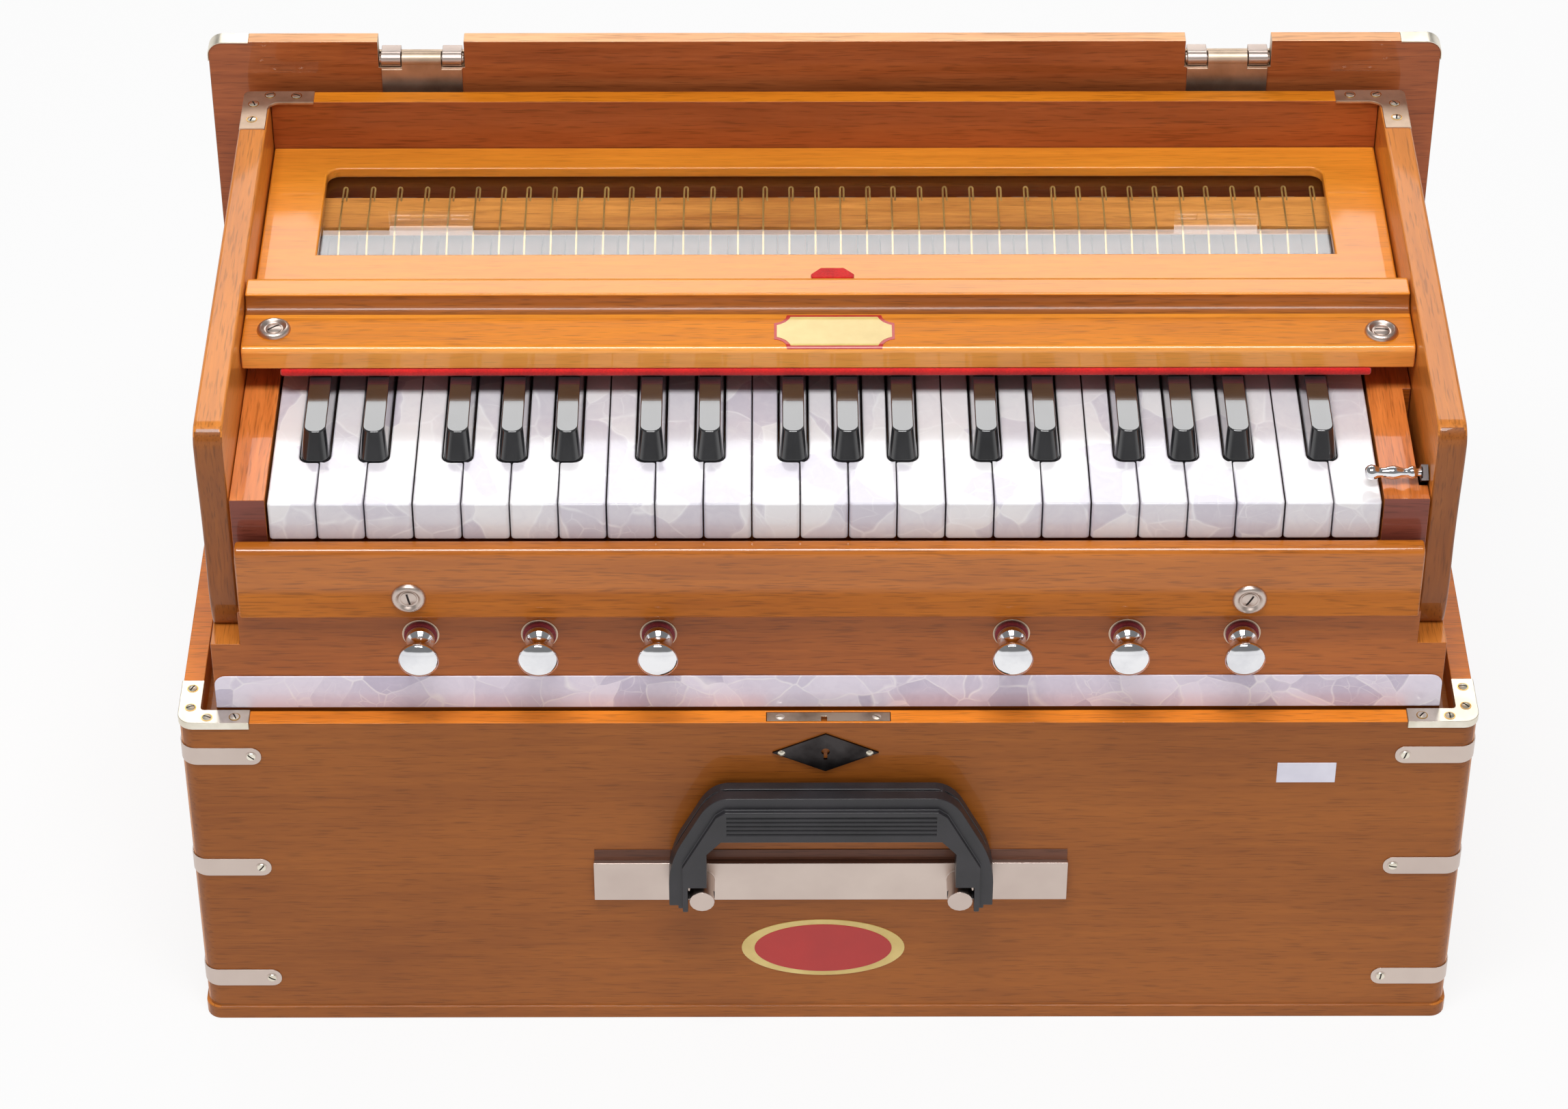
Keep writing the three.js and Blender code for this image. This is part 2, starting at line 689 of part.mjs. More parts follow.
// A turned stop knob: rod, collar, neck and flat cap, its axis along Y
function stopKnob(x) {
  const outline = [[0, stopCapReach + stopCapHalfDepth]];
  const neckAngle = Math.acos(stopNeckRadius / stopCapRadius);
  for (let i = 1; i <= stopCapSteps; i += 1) {
    const angle = Math.PI / 2 - (i / stopCapSteps) * (Math.PI / 2 + neckAngle);
    outline.push([stopCapRadius * Math.cos(angle), stopCapReach + stopCapHalfDepth * Math.sin(angle)]);
  }
  outline.push([stopNeckRadius, stopCollarGap + stopCollarLength],
    [stopCollarRadius, stopCollarGap + stopCollarLength / 2], [stopCollarRadius, stopCollarGap],
    [stopRodRadius, stopCollarGap], [stopRodRadius, -stopRodLength], [0, -stopRodLength]);
  const profile = outline.map(([radius, reach]) => new THREE.Vector2(radius, -reach));
  const geometry = new THREE.LatheGeometry(profile, turnedSides);
  geometry.translate(x, chestFront, stopHeight);
  return solidOf(geometry);
}

// Coupler lever: pivot pin, flat stem and turned handle
function couplerLever() {
  const stemLeft = cheekInner - leverSlotWidth / 2 - leverStemThickness / 2;
  const along = new THREE.Vector2(leverHandleY - leverPivotY, leverHandleZ - leverPivotZ).normalize();
  const side = new THREE.Vector2(-along.y, along.x).multiplyScalar(leverStemWidth / 2);
  const shape = new THREE.Shape();
  shape.moveTo(leverPivotY - side.x, leverPivotZ - side.y);
  shape.lineTo(leverHandleY - side.x, leverHandleZ - side.y);
  shape.lineTo(leverHandleY + side.x, leverHandleZ + side.y);
  shape.lineTo(leverPivotY + side.x, leverPivotZ + side.y);
  const stem = alongX(shape, stemLeft, stemLeft + leverStemThickness);
  const pin = barX(leverPinRadius, stemLeft + weld, cheekInner + leverPinLength, leverPivotY, leverPivotZ);
  const hub = barX(leverStemWidth / 2, stemLeft, stemLeft + leverStemThickness, leverPivotY, leverPivotZ);
  const profile = leverTurningShares.map(([radiusShare, lengthShare]) => (
    new THREE.Vector2(radiusShare * leverHandleRadius, lengthShare * leverHandleLength)));
  const handle = new THREE.LatheGeometry(profile, turnedSides);
  handle.rotateZ(-Math.PI / 2);
  handle.translate(stemLeft + weld - leverHandleLength, leverHandleY, leverHandleZ);
  return join(stem, pin, hub, solidOf(handle));
}

// Carrying handle

function handlePlate() {
  const left = handleX - handlePlateLength / 2;
  const back = -seat;
  const front = back - handlePlateThickness;
  let plate = block(left, left + handlePlateLength, front, back, handlePlateBottom,
    handlePlateBottom + handlePlateHeight);
  for (const side of [-1, 1]) {
    const x = handleX + side * lugSpread;
    const lug = barY(lugRadius, front - lugLength, front + weld, x, handlePivotZ);
    const hole = barX(handlePinRadius + handlePinClearance, x - lugRadius - overrun, x + lugRadius + overrun,
      handlePivotY, handlePivotZ);
    plate = plate.add(lug).subtract(hole);
  }
  return plate;
}

// The grip: a bow of two legs and a bar, notched for the lugs, with thinner feet that turn past the plate
function handleGrip() {
  const legInner = lugSpread + lugRadius + gripLegClearance;
  const notchHeight = Math.hypot(lugRadius, lugLength - handlePivotReach) + gripLegClearance;
  const right = [[gripLegHalf, 0], [gripLegHalf, gripLegHeight], [gripCornerHalf, gripCornerHeight],
    [gripTopHalf, gripHeight]];
  const innerRight = [[gripBarHalf, gripBarRise], [gripThroatHalf, gripThroatRise],
    [gripThroatHalf, notchHeight], [legInner, notchHeight], [legInner, 0]];
  const mirrored = (points) => points.map(([x, z]) => [-x, z]).reverse();
  const outline = [...right, ...mirrored(right), ...mirrored(innerRight), ...innerRight];
  const shape = new THREE.Shape(outline.map(([x, z]) => new THREE.Vector2(x + handleX, z + handlePivotZ)));
  const front = handlePivotY - gripFrontReach;
  let grip = alongY(shape, front, handlePivotY + gripBackReach);
  for (const side of [-1, 1]) {
    const footEnds = [legInner, gripLegHalf].map((half) => handleX + side * half);
    const foot = block(Math.min(...footEnds), Math.max(...footEnds), front, handlePivotY + gripFrontReach,
      handlePivotZ - gripFootDrop, handlePivotZ + weld);
    const pinEnds = [lugSpread - lugRadius, legInner + weld].map((half) => handleX + side * half);
    const pin = barX(handlePinRadius, Math.min(...pinEnds), Math.max(...pinEnds), handlePivotY, handlePivotZ);
    grip = grip.add(foot).add(pin);
  }
  return grip;
}

// Bellows, folded flat: thin frames whose edges draw in between the folds
function bellows() {
  const step = bellowsFolded / bellowsFolds;
  const start = chestBack + seat;
  let whole = null;
  for (let i = 0; i < bellowsFolds; i += 1) {
    const y0 = start + i * step;
    const ridge = (y, inset) => [-bellowsHalfWidth + inset, bellowsHalfWidth - inset, bellowsBottom + inset,
      bellowsTop - inset, y];
    const fold = foldedFrame(ridge(y0, bellowsFoldDepth), ridge(y0 + step / 2, 0),
      ridge(y0 + step, bellowsFoldDepth));
    whole = whole ? whole.add(fold) : fold;
  }
  return whole;
}

// A closed solid through three rectangles that stand one behind another
function foldedFrame(...frames) {
  const points = frames.flatMap(([x0, x1, z0, z1, y]) => [[x0, y, z0], [x1, y, z0], [x1, y, z1], [x0, y, z1]]);
  const index = [0, 1, 2, 0, 2, 3];
  const last = (frames.length - 1) * 4;
  for (let k = 0; k < frames.length - 1; k += 1) {
    for (let j = 0; j < 4; j += 1) {
      const a = k * 4 + j;
      const b = k * 4 + ((j + 1) % 4);
      index.push(a, a + 4, b, b, a + 4, b + 4);
    }
  }
  index.push(last, last + 2, last + 1, last, last + 3, last + 2);
  const geometry = new THREE.BufferGeometry();
  geometry.setAttribute('position', new THREE.Float32BufferAttribute(points.flat(), 3));
  geometry.setIndex(index);
  return solidOf(geometry);
}

// Pumping board, with the front leaves and middle knuckles of the lid's hinges

function bellowsBoard() {
  const half = caseWidth / 2;
  const radii = [0, 0, boardCornerRadius, boardCornerRadius];
  let board = alongY(roundedRectangle(-half, half, boardBottom, boardTop, radii), boardFront, boardBack);
  for (const x of [-hingeX, hingeX]) {
    const notchHalf = hingeNotchWidth / 2;
    const notch = block(x - notchHalf, x + notchHalf, boardFront - overrun, boardBack + overrun,
      boardTop - hingeNotchDepth, boardTop + overrun);
    const pocket = barX(knuckleRadius + knuckleClearance, x - notchHalf, x + notchHalf, hingeAxisY, hingeAxisZ);
    board = cut(board, notch, pocket);
    const middle = hingeWidth / 2 - outerKnuckleLength - knuckleClearance;
    const leaf = block(x - middle, x + middle, boardFront - leafThickness, boardFront + weld,
      hingeAxisZ - leafLength, hingeAxisZ);
    const lowLeaf = block(x - hingeWidth / 2, x + hingeWidth / 2, boardFront - leafThickness, boardFront + weld,
      hingeAxisZ - leafLength, hingeAxisZ - knuckleRadius - knuckleClearance);
    const knuckle = barX(knuckleRadius, x - middle, x + middle, hingeAxisY, hingeAxisZ);
    const bore = barX(hingePinRadius + knuckleClearance, x - middle - overrun, x + middle + overrun, hingeAxisY,
      hingeAxisZ);
    board = cut(join(board, leaf, lowLeaf, knuckle), bore);
  }
  return board;
}

// Lid, with the rear leaves, outer knuckles and pins of its hinges

function lid() {
  const half = caseWidth / 2;
  const bottom = lidTop - lidLength;
  const face = alongY(roundedRectangle(-half, half, bottom, lidTop, [lidCornerRadius, lidCornerRadius, 0, 0]),
    lidFace, lidFace + lidThickness + lidRimDepth);
  const rimHalf = half - sideWall;
  const back = lidFace + lidThickness;
  const hollow = block(-rimHalf, rimHalf, back, back + lidRimDepth + overrun, bottom + frontWall,
    lidTop + overrun);
  const mitre = new THREE.Shape([
    new THREE.Vector2(back, lidTop), new THREE.Vector2(back + lidRimDepth + overrun, lidTop - lidRimDepth - overrun),
    new THREE.Vector2(back + lidRimDepth + overrun, lidTop + overrun), new THREE.Vector2(back, lidTop + overrun)]);
  let whole = cut(face, hollow, alongX(mitre, -half - overrun, half + overrun));
  for (const x of [-hingeX, hingeX]) {
    const end = hingeWidth / 2;
    const leafFront = lidFace - leafThickness;
    const tabZ = boardTop - hingeNotchDepth + seat;
    whole = whole.add(block(x - end, x + end, leafFront, lidFace + weld, hingeAxisZ - leafLength, lidTop + weld));
    for (const side of [-1, 1]) {
      const outer = x + side * end;
      const inner = x + side * (end - outerKnuckleLength);
      const x0 = Math.min(outer, inner);
      const x1 = Math.max(outer, inner);
      whole = join(whole,
        barX(knuckleRadius, x0, x1, hingeAxisY, hingeAxisZ),
        block(x0, x1, hingeAxisY, lidFace, tabZ, tabZ + leafThickness),
        block(x0, x1, leafFront, lidFace, lidTop, tabZ + leafThickness),
        barX(hingePinHeadRadius, outer - (side < 0 ? hingePinHeadLength : weld),
          outer + (side < 0 ? weld : hingePinHeadLength), hingeAxisY, hingeAxisZ));
    }
    whole = whole.add(barX(hingePinRadius, x - end, x + end, hingeAxisY, hingeAxisZ));
  }
  return whole;
}

// Finishes

function finish(color, roughness, metalness = 0, extra = {}) {
  return new THREE.MeshStandardMaterial({ color, roughness, metalness, ...extra });
}

const finishes = {
  caseWood: finish('#a8602f', 0.25),
  polishedWood: finish('#c27634', 0.18),
  keyWood: finish('#d9a566', 0.5),
  pearl: finish('#f2ece6', 0.25),
  black: finish('#15151a', 0.15),
  chrome: finish('#d8d8dc', 0.12, 1),
  nickel: finish('#c4c2bc', 0.3, 1),
  plastic: finish('#1b1b1e', 0.45),
  glass: finish('#c8d2d2', 0.05, 0, { transparent: true, opacity: 0.25 }),
  cloth: finish('#7a1f22', 0.85),
};

// Assembly

const group = new THREE.Group();
group.name = 'harmonium';
group.position.y = -originY;

function place(name, solid, material) {
  const mesh = new THREE.Mesh(geometryOf(solid), material);
  mesh.name = name;
  group.add(mesh);
}

place('outer_case', outerCase(), finishes.caseWood);
place('chest', chest(), finishes.caseWood);
place('cheek_left', cheek(-chestHalf, -cheekInner), finishes.polishedWood);
place('cheek_right', rightCheek(), finishes.polishedWood);
place('key_slip', keySlip(), finishes.polishedWood);
place('name_rail', nameRail(), finishes.polishedWood);
place('window_frame', windowFrame(), finishes.polishedWood);
place('window_glass', windowGlass(), finishes.glass);

const places = keyPlaces();
places.forEach((spot, index) => {
  const solid = spot.white ? whiteKey(places, index) : blackKey(spot);
  place(spot.name, solid, spot.white ? finishes.pearl : finishes.black);
});
place('spring_rail', springRail(places), finishes.keyWood);

stopPlaces.forEach((x, index) => place(`stop_knob_${index + 1}`, stopKnob(x), finishes.chrome));
place('coupler_lever', couplerLever(), finishes.chrome);
place('handle_plate', handlePlate(), finishes.chrome);
place('handle_grip', handleGrip(), finishes.plastic);
place('bellows_folds', bellows(), finishes.cloth);
place('bellows_board', bellowsBoard(), finishes.caseWood);
place('lid', lid(), finishes.caseWood);

export default group;
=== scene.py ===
"""Looks of an indian harmonium, modelled and finished around its packed construction.

Lengths are metres in Blender. Fields whose names end in _mm are millimetres, and so are places that are
given across, back and up: to the right of the case's middle, behind its front face and above the floor.
"""
import functools
import logging
import math
from collections.abc import Callable, Sequence
from dataclasses import dataclass, field
from enum import Enum

import bpy
from mathutils import Matrix, Vector


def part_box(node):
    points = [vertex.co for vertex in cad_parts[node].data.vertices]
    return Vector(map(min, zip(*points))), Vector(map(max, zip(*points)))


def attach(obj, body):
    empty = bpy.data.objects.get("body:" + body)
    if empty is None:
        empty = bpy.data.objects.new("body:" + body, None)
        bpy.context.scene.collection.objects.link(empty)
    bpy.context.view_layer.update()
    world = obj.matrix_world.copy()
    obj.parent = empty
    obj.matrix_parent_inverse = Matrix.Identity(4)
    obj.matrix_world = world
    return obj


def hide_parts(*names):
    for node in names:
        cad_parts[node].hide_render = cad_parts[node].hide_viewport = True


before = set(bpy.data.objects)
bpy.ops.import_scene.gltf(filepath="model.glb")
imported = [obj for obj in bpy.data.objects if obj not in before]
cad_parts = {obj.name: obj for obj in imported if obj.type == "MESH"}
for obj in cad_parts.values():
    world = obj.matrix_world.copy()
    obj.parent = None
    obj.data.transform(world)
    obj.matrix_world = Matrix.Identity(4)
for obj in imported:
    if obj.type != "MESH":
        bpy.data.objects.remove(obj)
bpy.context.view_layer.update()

LOG = logging.getLogger("harmonium")
MM = 0.001
BASE_LIP = 1 * MM
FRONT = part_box("outer_case")[0][1] + BASE_LIP
SIDES = (("left", -1), ("right", 1))
TO_FRONT = Matrix.Rotation(math.radians(90), 4, "X")
TO_BACK = Matrix.Rotation(math.radians(-90), 4, "X")

Colour = tuple[float, float, float]
Place = tuple[float, float, float]
Pair = tuple[float, float]
Box = tuple[Pair, Pair, Pair]
FaceTest = Callable[[Vector, Vector], bool]
Socket = bpy.types.NodeSocket
Piece = bpy.types.Object


def deep(back: float) -> float:
    """The place along Y of millimetres behind the case's front face."""
    return FRONT + back * MM


def back_of(place: float) -> float:
    """How many millimetres a place along Y lies behind the case's front face."""
    return (place - FRONT) / MM


def spot(across: float, back: float, up: float) -> Vector:
    """Turn millimetres across, back and up into a place in metres."""
    return Vector((across * MM, deep(back), up * MM))


def linear(colour: Colour) -> Colour:
    """Turn a colour as a screen shows it, 0 to 255, into the linear values of a shader.

    Args:
        colour: The screen's red, green and blue.

    Returns:
        The three linear values.
    """
    shares = (value / 255 for value in colour)
    return tuple(share / 12.92 if share <= 0.04045 else ((share + 0.055) / 1.055) ** 2.4 for share in shares)


class Grain(Enum):
    """The direction in which a piece of wood was cut, as the number of its axis."""

    ACROSS = 0
    DEEP = 1
    UPRIGHT = 2


class Slot(Enum):
    """The record's material slots."""

    CASE = "case_wood"
    POLISHED = "polished_wood"
    RAIL = "rail_wood"
    WHITE_KEY = "white_key"
    BLACK_KEY = "black_key"
    CHROME = "chrome"
    GRIP = "grip_plastic"
    GLASS = "window_glass"
    CLOTH = "bellows_cloth"


class Recipe:
    """A material while its nodes are laid out."""

    def __init__(self, name: str) -> None:
        """Start a material with one Principled shader.

        Args:
            name: The material's name.
        """
        self.material = bpy.data.materials.new(name)
        self.material.use_nodes = True
        self.nodes = self.material.node_tree.nodes
        self.links = self.material.node_tree.links
        self.shader = self.nodes["Principled BSDF"]

    def feed(self, socket: Socket, source: object) -> None:
        """Link a socket to another, or set it to a plain value.

        Args:
            socket: The input to feed.
            source: An output socket or a value.
        """
        if isinstance(source, Socket):
            self.links.new(source, socket)
        elif socket.type == "RGBA":
            socket.default_value = (*source, 1.0)
        else:
            socket.default_value = source

    def node(
        self, kind: str, inputs: dict[str | int, object] | None = None, **settings: object
    ) -> bpy.types.Node:
        """Add a node, set its properties and feed its inputs.

        Args:
            kind: Blender's name of the node type, after its common start.
            inputs: What each input is fed with, by its name or number.
            **settings: Properties of the node.

        Returns:
            The new node.
        """
        made = self.nodes.new(f"ShaderNode{kind}")
        for name, value in settings.items():
            setattr(made, name, value)
        for key, source in (inputs or {}).items():
            self.feed(made.inputs[key], source)
        return made

    def set(self, **inputs: object) -> None:
        """Feed inputs of the shader, named with underscores for spaces."""
        for name, source in inputs.items():
            self.feed(self.shader.inputs[name.replace("_", " ")], source)

    def places(self, scale: Sequence[float] = (1.0, 1.0, 1.0), shift: float = 0.0) -> Socket:
        """Object coordinates, stretched and moved.

        Args:
            scale: How much finer the pattern is along each axis.
            shift: Distance in metres that the pattern is moved along each axis.

        Returns:
            The socket with the coordinates.
        """
        source = self.node("TexCoord").outputs["Object"]
        return self.node("Mapping", {"Vector": source, "Scale": scale, "Location": (shift,) * 3}).outputs[0]

    def noise(
        self,
        places: Socket,
        scale: float,
        detail: float = 3.0,
        roughness: float = 0.5,
        distortion: float = 0.0,
        output: str = "Fac",
    ) -> Socket:
        """A noise between 0 and 1.

        Args:
            places: The coordinates.
            scale: Number of swells to a metre.
            detail: Number of finer layers.
            roughness: Weight of the finer layers.
            distortion: How much the noise is stirred.
            output: The node's output.

        Returns:
            The socket with the noise.
        """
        inputs = {"Vector": places, "Scale": scale, "Detail": detail, "Roughness": roughness}
        return self.node("TexNoise", {**inputs, "Distortion": distortion}).outputs[output]

    def cells(self, places: Socket, scale: float, feature: str = "F1", output: str = "Distance") -> Socket:
        """A pattern of cells.

        Args:
            places: The coordinates.
            scale: Number of cells to a metre.
            feature: Which measure of the cells is taken.
            output: The node's output.

        Returns:
            The socket with the pattern.
        """
        return self.node("TexVoronoi", {"Vector": places, "Scale": scale}, feature=feature).outputs[output]

    def sums(self, operation: str, *values: object) -> Socket:
        """One step of arithmetic, by Blender's name of the operation, on sockets or numbers."""
        return self.node("Math", dict(enumerate(values)), operation=operation).outputs[0]

    def weighted(self, *parts: tuple[Socket, float]) -> Socket:
        """Add up some sockets.

        Args:
            *parts: Each socket with its weight.

        Returns:
            The socket with the sum.
        """
        total: object = 0.0
        for source, weight in parts:
            total = self.sums("MULTIPLY_ADD", source, weight, total)
        return total

    def ramp(self, share: Socket, *stops: tuple[float, float | Colour]) -> Socket:
        """Turn a share into colours or greys.

        Args:
            share: The socket with values between 0 and 1.
            *stops: Positions with a grey value or a linear colour each.

        Returns:
            The socket with the colour.
        """
        made = self.node("ValToRGB", {"Fac": share})
        elements = made.color_ramp.elements
        while len(elements) < len(stops):
            elements.new(0.5)
        for element, (position, value) in zip(elements, stops):
            element.position = position
            element.color = (*(value if isinstance(value, tuple) else (value,) * 3), 1.0)
        return made.outputs["Color"]

    def blend(self, share: object, first: object, second: object, kind: str = "MIX") -> Socket:
        """Mix two colours.

        Args:
            share: How much of the second is taken.
            first: A linear colour or a socket.
            second: A linear colour or a socket.
            kind: Blender's name of the way to mix.

        Returns:
            The socket with the colour.
        """
        made = self.node("Mix", {"Factor": share}, data_type="RGBA", blend_type=kind)
        for socket, source in zip((one for one in made.inputs if one.type == "RGBA"), (first, second)):
            self.feed(socket, source)
        return next(one for one in made.outputs if one.type == "RGBA")

    def relief(self, height: Socket, strength: float, depth_mm: float) -> None:
        """Give the shader a bumpy surface.

        Args:
            height: The socket with the height between 0 and 1.
            strength: Share of the bump that shows.
            depth_mm: Depth of the bump.
        """
        made = self.node("Bump", {"Height": height, "Strength": strength, "Distance": depth_mm * MM})
        self.links.new(made.outputs["Normal"], self.shader.inputs["Normal"])

    def overlay(self, share: Socket, other: Socket) -> None:
        """Let another shader show instead of the main one.

        Args:
            share: How much of the other shows.
            other: The other shader's output.
        """
        made = self.node("MixShader", {"Fac": share, 1: self.shader.outputs[0], 2: other})
        self.links.new(made.outputs[0], self.nodes["Material Output"].inputs["Surface"])


@dataclass(frozen=True)
class Lacquer:
    """Wood with fine straight grain under clear lacquer."""

    name: str
    tone: Colour
    grain: Grain = Grain.ACROSS
    spread: float = 0.2
    pores: float = 0.3
    roughness: float = 0.4
    coat: float = 0.9
    shift: float = 0.0
    bare_below_mm: float | None = None
    stretch: float = 0.06
    fade_mm: float = 4.0
    thin: float = 0.1

    def _shade(self, change: float) -> Colour:
        """The wood's tone, paler by a share, or darker and redder below zero."""
        parts = zip(linear(self.tone), (1.0, 1.25, 1.5))
        return tuple(min(value * (1 + weight * change), 1.0) for value, weight in parts)

    def _coat(self, recipe: Recipe) -> object:
        """How strong the clear coat is: even, or rubbed thin below a height.

        Args:
            recipe: The material in the making.

        Returns:
            A number or a socket.
        """
        if self.bare_below_mm is None:
            return self.coat
        height = recipe.node("SeparateXYZ", {0: recipe.places()}).outputs["Z"]
        above = recipe.sums("SUBTRACT", height, self.bare_below_mm * MM)
        share = recipe.ramp(recipe.sums("DIVIDE", above, self.fade_mm * MM), (0.0, self.thin), (1.0, 1.0))
        return recipe.sums("MULTIPLY", share, self.coat)

    def mix(self) -> bpy.types.Material:
        """Lay out the nodes.

        Returns:
            The material.
        """
        recipe = Recipe(self.name)
        slow = [1.0, 1.0, 1.0]
        slow[self.grain.value] = self.stretch
        places = recipe.places(slow, self.shift)
        broad = recipe.noise(places, 24.0, 2.0, 0.5, 0.3)
        fine = recipe.noise(places, 300.0, 4.0, 0.6)
        hair = recipe.noise(places, 1300.0, 1.0)
        cloud = recipe.noise(recipe.places(shift=self.shift), 7.0, 2.0)
        tone = recipe.weighted((broad, 0.4), (fine, 0.35), (cloud, 0.25))
        stops = ((0.5 + 0.12 * step, self._shade(self.spread * step)) for step in (-1, 0, 1))
        colour = recipe.ramp(tone, *stops)
        lines = recipe.ramp(hair, (0.3, 1 - self.pores), (0.46, 1.0))
        recipe.set(
            Base_Color=recipe.blend(1.0, colour, lines, "MULTIPLY"),
            Roughness=recipe.ramp(fine, (0.2, self.roughness - 0.05), (0.8, self.roughness + 0.08)),
            Specular_IOR_Level=0.2,
            Coat_Weight=self._coat(recipe),
            Coat_Roughness=0.035,
        )
        recipe.relief(recipe.weighted((fine, 1.0), (hair, 0.6)), 0.2, 0.08)
        return recipe.material


@dataclass(frozen=True)
class Metal:
    """Plated or bare metal with handling marks."""

    name: str
    bright: Colour
    worn: Colour
    polish: float = 0.16
    marks: float = 0.1
    cloud: float = 60.0

    def mix(self) -> bpy.types.Material:
        """Lay out the nodes.

        Returns:
            The material.
        """
        recipe = Recipe(self.name)
        cloud = recipe.noise(recipe.places(), self.cloud, 4.0, 0.55)
        recipe.set(
            Base_Color=recipe.ramp(cloud, (0.34, linear(self.worn)), (0.6, linear(self.bright))),
            Metallic=1.0,
            Roughness=recipe.sums("MULTIPLY_ADD", cloud, self.marks, self.polish - self.marks / 2),
        )
        recipe.relief(recipe.noise(recipe.places((0.12, 1.0, 1.0)), 1200.0, 3.0, 0.6), 0.06, 0.03)
        return recipe.material


@dataclass(frozen=True)
class Moulded:
    """Moulded plastic or painted stock, even in colour with a fine texture."""

    name: str
    colour: Colour
    second: Colour
    roughness: float = 0.3
    coat: float = 0.0
    texture: float = 0.1
    texture_scale: float = 1400.0

    def mix(self) -> bpy.types.Material:
        """Lay out the nodes.

        Returns:
            The material.
        """
        recipe = Recipe(self.name)
        places = recipe.places()
        cloud = recipe.noise(places, 60.0, 4.0, 0.55)
        recipe.set(
            Base_Color=recipe.ramp(cloud, (0.3, linear(self.second)), (0.7, linear(self.colour))),
            Roughness=recipe.sums("MULTIPLY_ADD", cloud, 0.14, self.roughness - 0.07),
            Coat_Weight=self.coat,
            Coat_Roughness=0.05,
        )
        recipe.relief(recipe.noise(places, self.texture_scale), self.texture, 0.15)
        return recipe.material


@dataclass(frozen=True)
class Pearl:
    """Pearl celluloid: folded sheets of slightly different tone between thin pale veins."""

    name: str
    pale: Colour
    shade: Colour
    vein: Colour
    sheets: float = 42.0
    veins: float = 0.6
    stir_mm: float = 16.0
    roughness: float = 0.2

    def mix(self) -> bpy.types.Material:
        """Lay out the nodes.

        Returns:
            The material.
        """
        recipe = Recipe(self.name)
        places = recipe.places((1.0, 0.8, 1.0))
        swirl = recipe.noise(places, 34.0, 2.0, output="Color")
        stir = {0: swirl, 1: (self.stir_mm * MM,) * 3, 2: places}
        moved = recipe.node("VectorMath", stir, operation="MULTIPLY_ADD").outputs["Vector"]
        tone = recipe.node("SeparateColor", {0: recipe.cells(moved, self.sheets, output="Color")})
        silk = recipe.noise(places, 130.0, 4.0, 0.6, 1.2)
        share = recipe.weighted((tone.outputs[0], 0.6), (silk, 0.4))
        colour = recipe.ramp(share, (0.2, linear(self.shade)), (0.75, linear(self.pale)))
        edges = [recipe.cells(moved, self.sheets * finer, "DISTANCE_TO_EDGE") for finer in (1.0, 2.3)]
        wide = recipe.ramp(edges[0], (0.0, 1.0), (0.035, 0.0))
        thin = recipe.ramp(edges[1], (0.0, 0.7), (0.04, 0.0))
        some = recipe.ramp(recipe.noise(places, 40.0, 2.0), (0.5, 0.0), (0.58, 1.0))
        lines = recipe.sums("MAXIMUM", wide, recipe.sums("MULTIPLY", thin, some))
        fade = recipe.ramp(recipe.noise(places, 90.0, 2.0), (0.35, 0.15), (0.6, self.veins))
        recipe.set(
            Base_Color=recipe.blend(recipe.sums("MULTIPLY", lines, fade), colour, linear(self.vein)),
            Roughness=recipe.sums("MULTIPLY_ADD", silk, 0.12, self.roughness - 0.06),
            Coat_Weight=0.3,
            Coat_Roughness=0.06,
        )
        recipe.relief(recipe.sums("ADD", silk, lines), 0.1, 0.08)
        return recipe.material


@dataclass(frozen=True)
class Felt:
    """Wool felt or cloth with a soft nap."""

    name: str
    colour: Colour
    dark: Colour
    nap: float = 900.0

    def mix(self) -> bpy.types.Material:
        """Lay out the nodes.

        Returns:
            The material.
        """
        recipe = Recipe(self.name)
        places = recipe.places()
        wool = recipe.noise(places, self.nap, 4.0, 0.7)
        share = recipe.weighted((wool, 0.6), (recipe.noise(places, 120.0), 0.4))
        colour = recipe.ramp(share, (0.3, linear(self.dark)), (0.65, linear(self.colour)))
        recipe.set(Base_Color=colour, Roughness=0.9, Sheen_Weight=0.35, Sheen_Roughness=0.5)
        recipe.relief(wool, 0.6, 0.5)
        return recipe.material


@dataclass(frozen=True)
class Pane:
    """A flat pane of glass with a little haze, which lets lamplight through."""

    name: str
    tint: Colour

    def mix(self) -> bpy.types.Material:
        """Lay out the nodes.

        Returns:
            The material.
        """
        recipe = Recipe(self.name)
        tint = linear(self.tint)
        gloss = recipe.ramp(recipe.noise(recipe.places(), 35.0, 4.0, 0.6), (0.4, 0.0), (0.8, 0.02))
        recipe.set(Base_Color=tint, Roughness=gloss, Transmission_Weight=1.0, IOR=1.5)
        clear = recipe.node("BsdfTransparent", {"Color": tint}).outputs[0]
        recipe.overlay(recipe.node("LightPath").outputs["Is Shadow Ray"], clear)
        return recipe.material


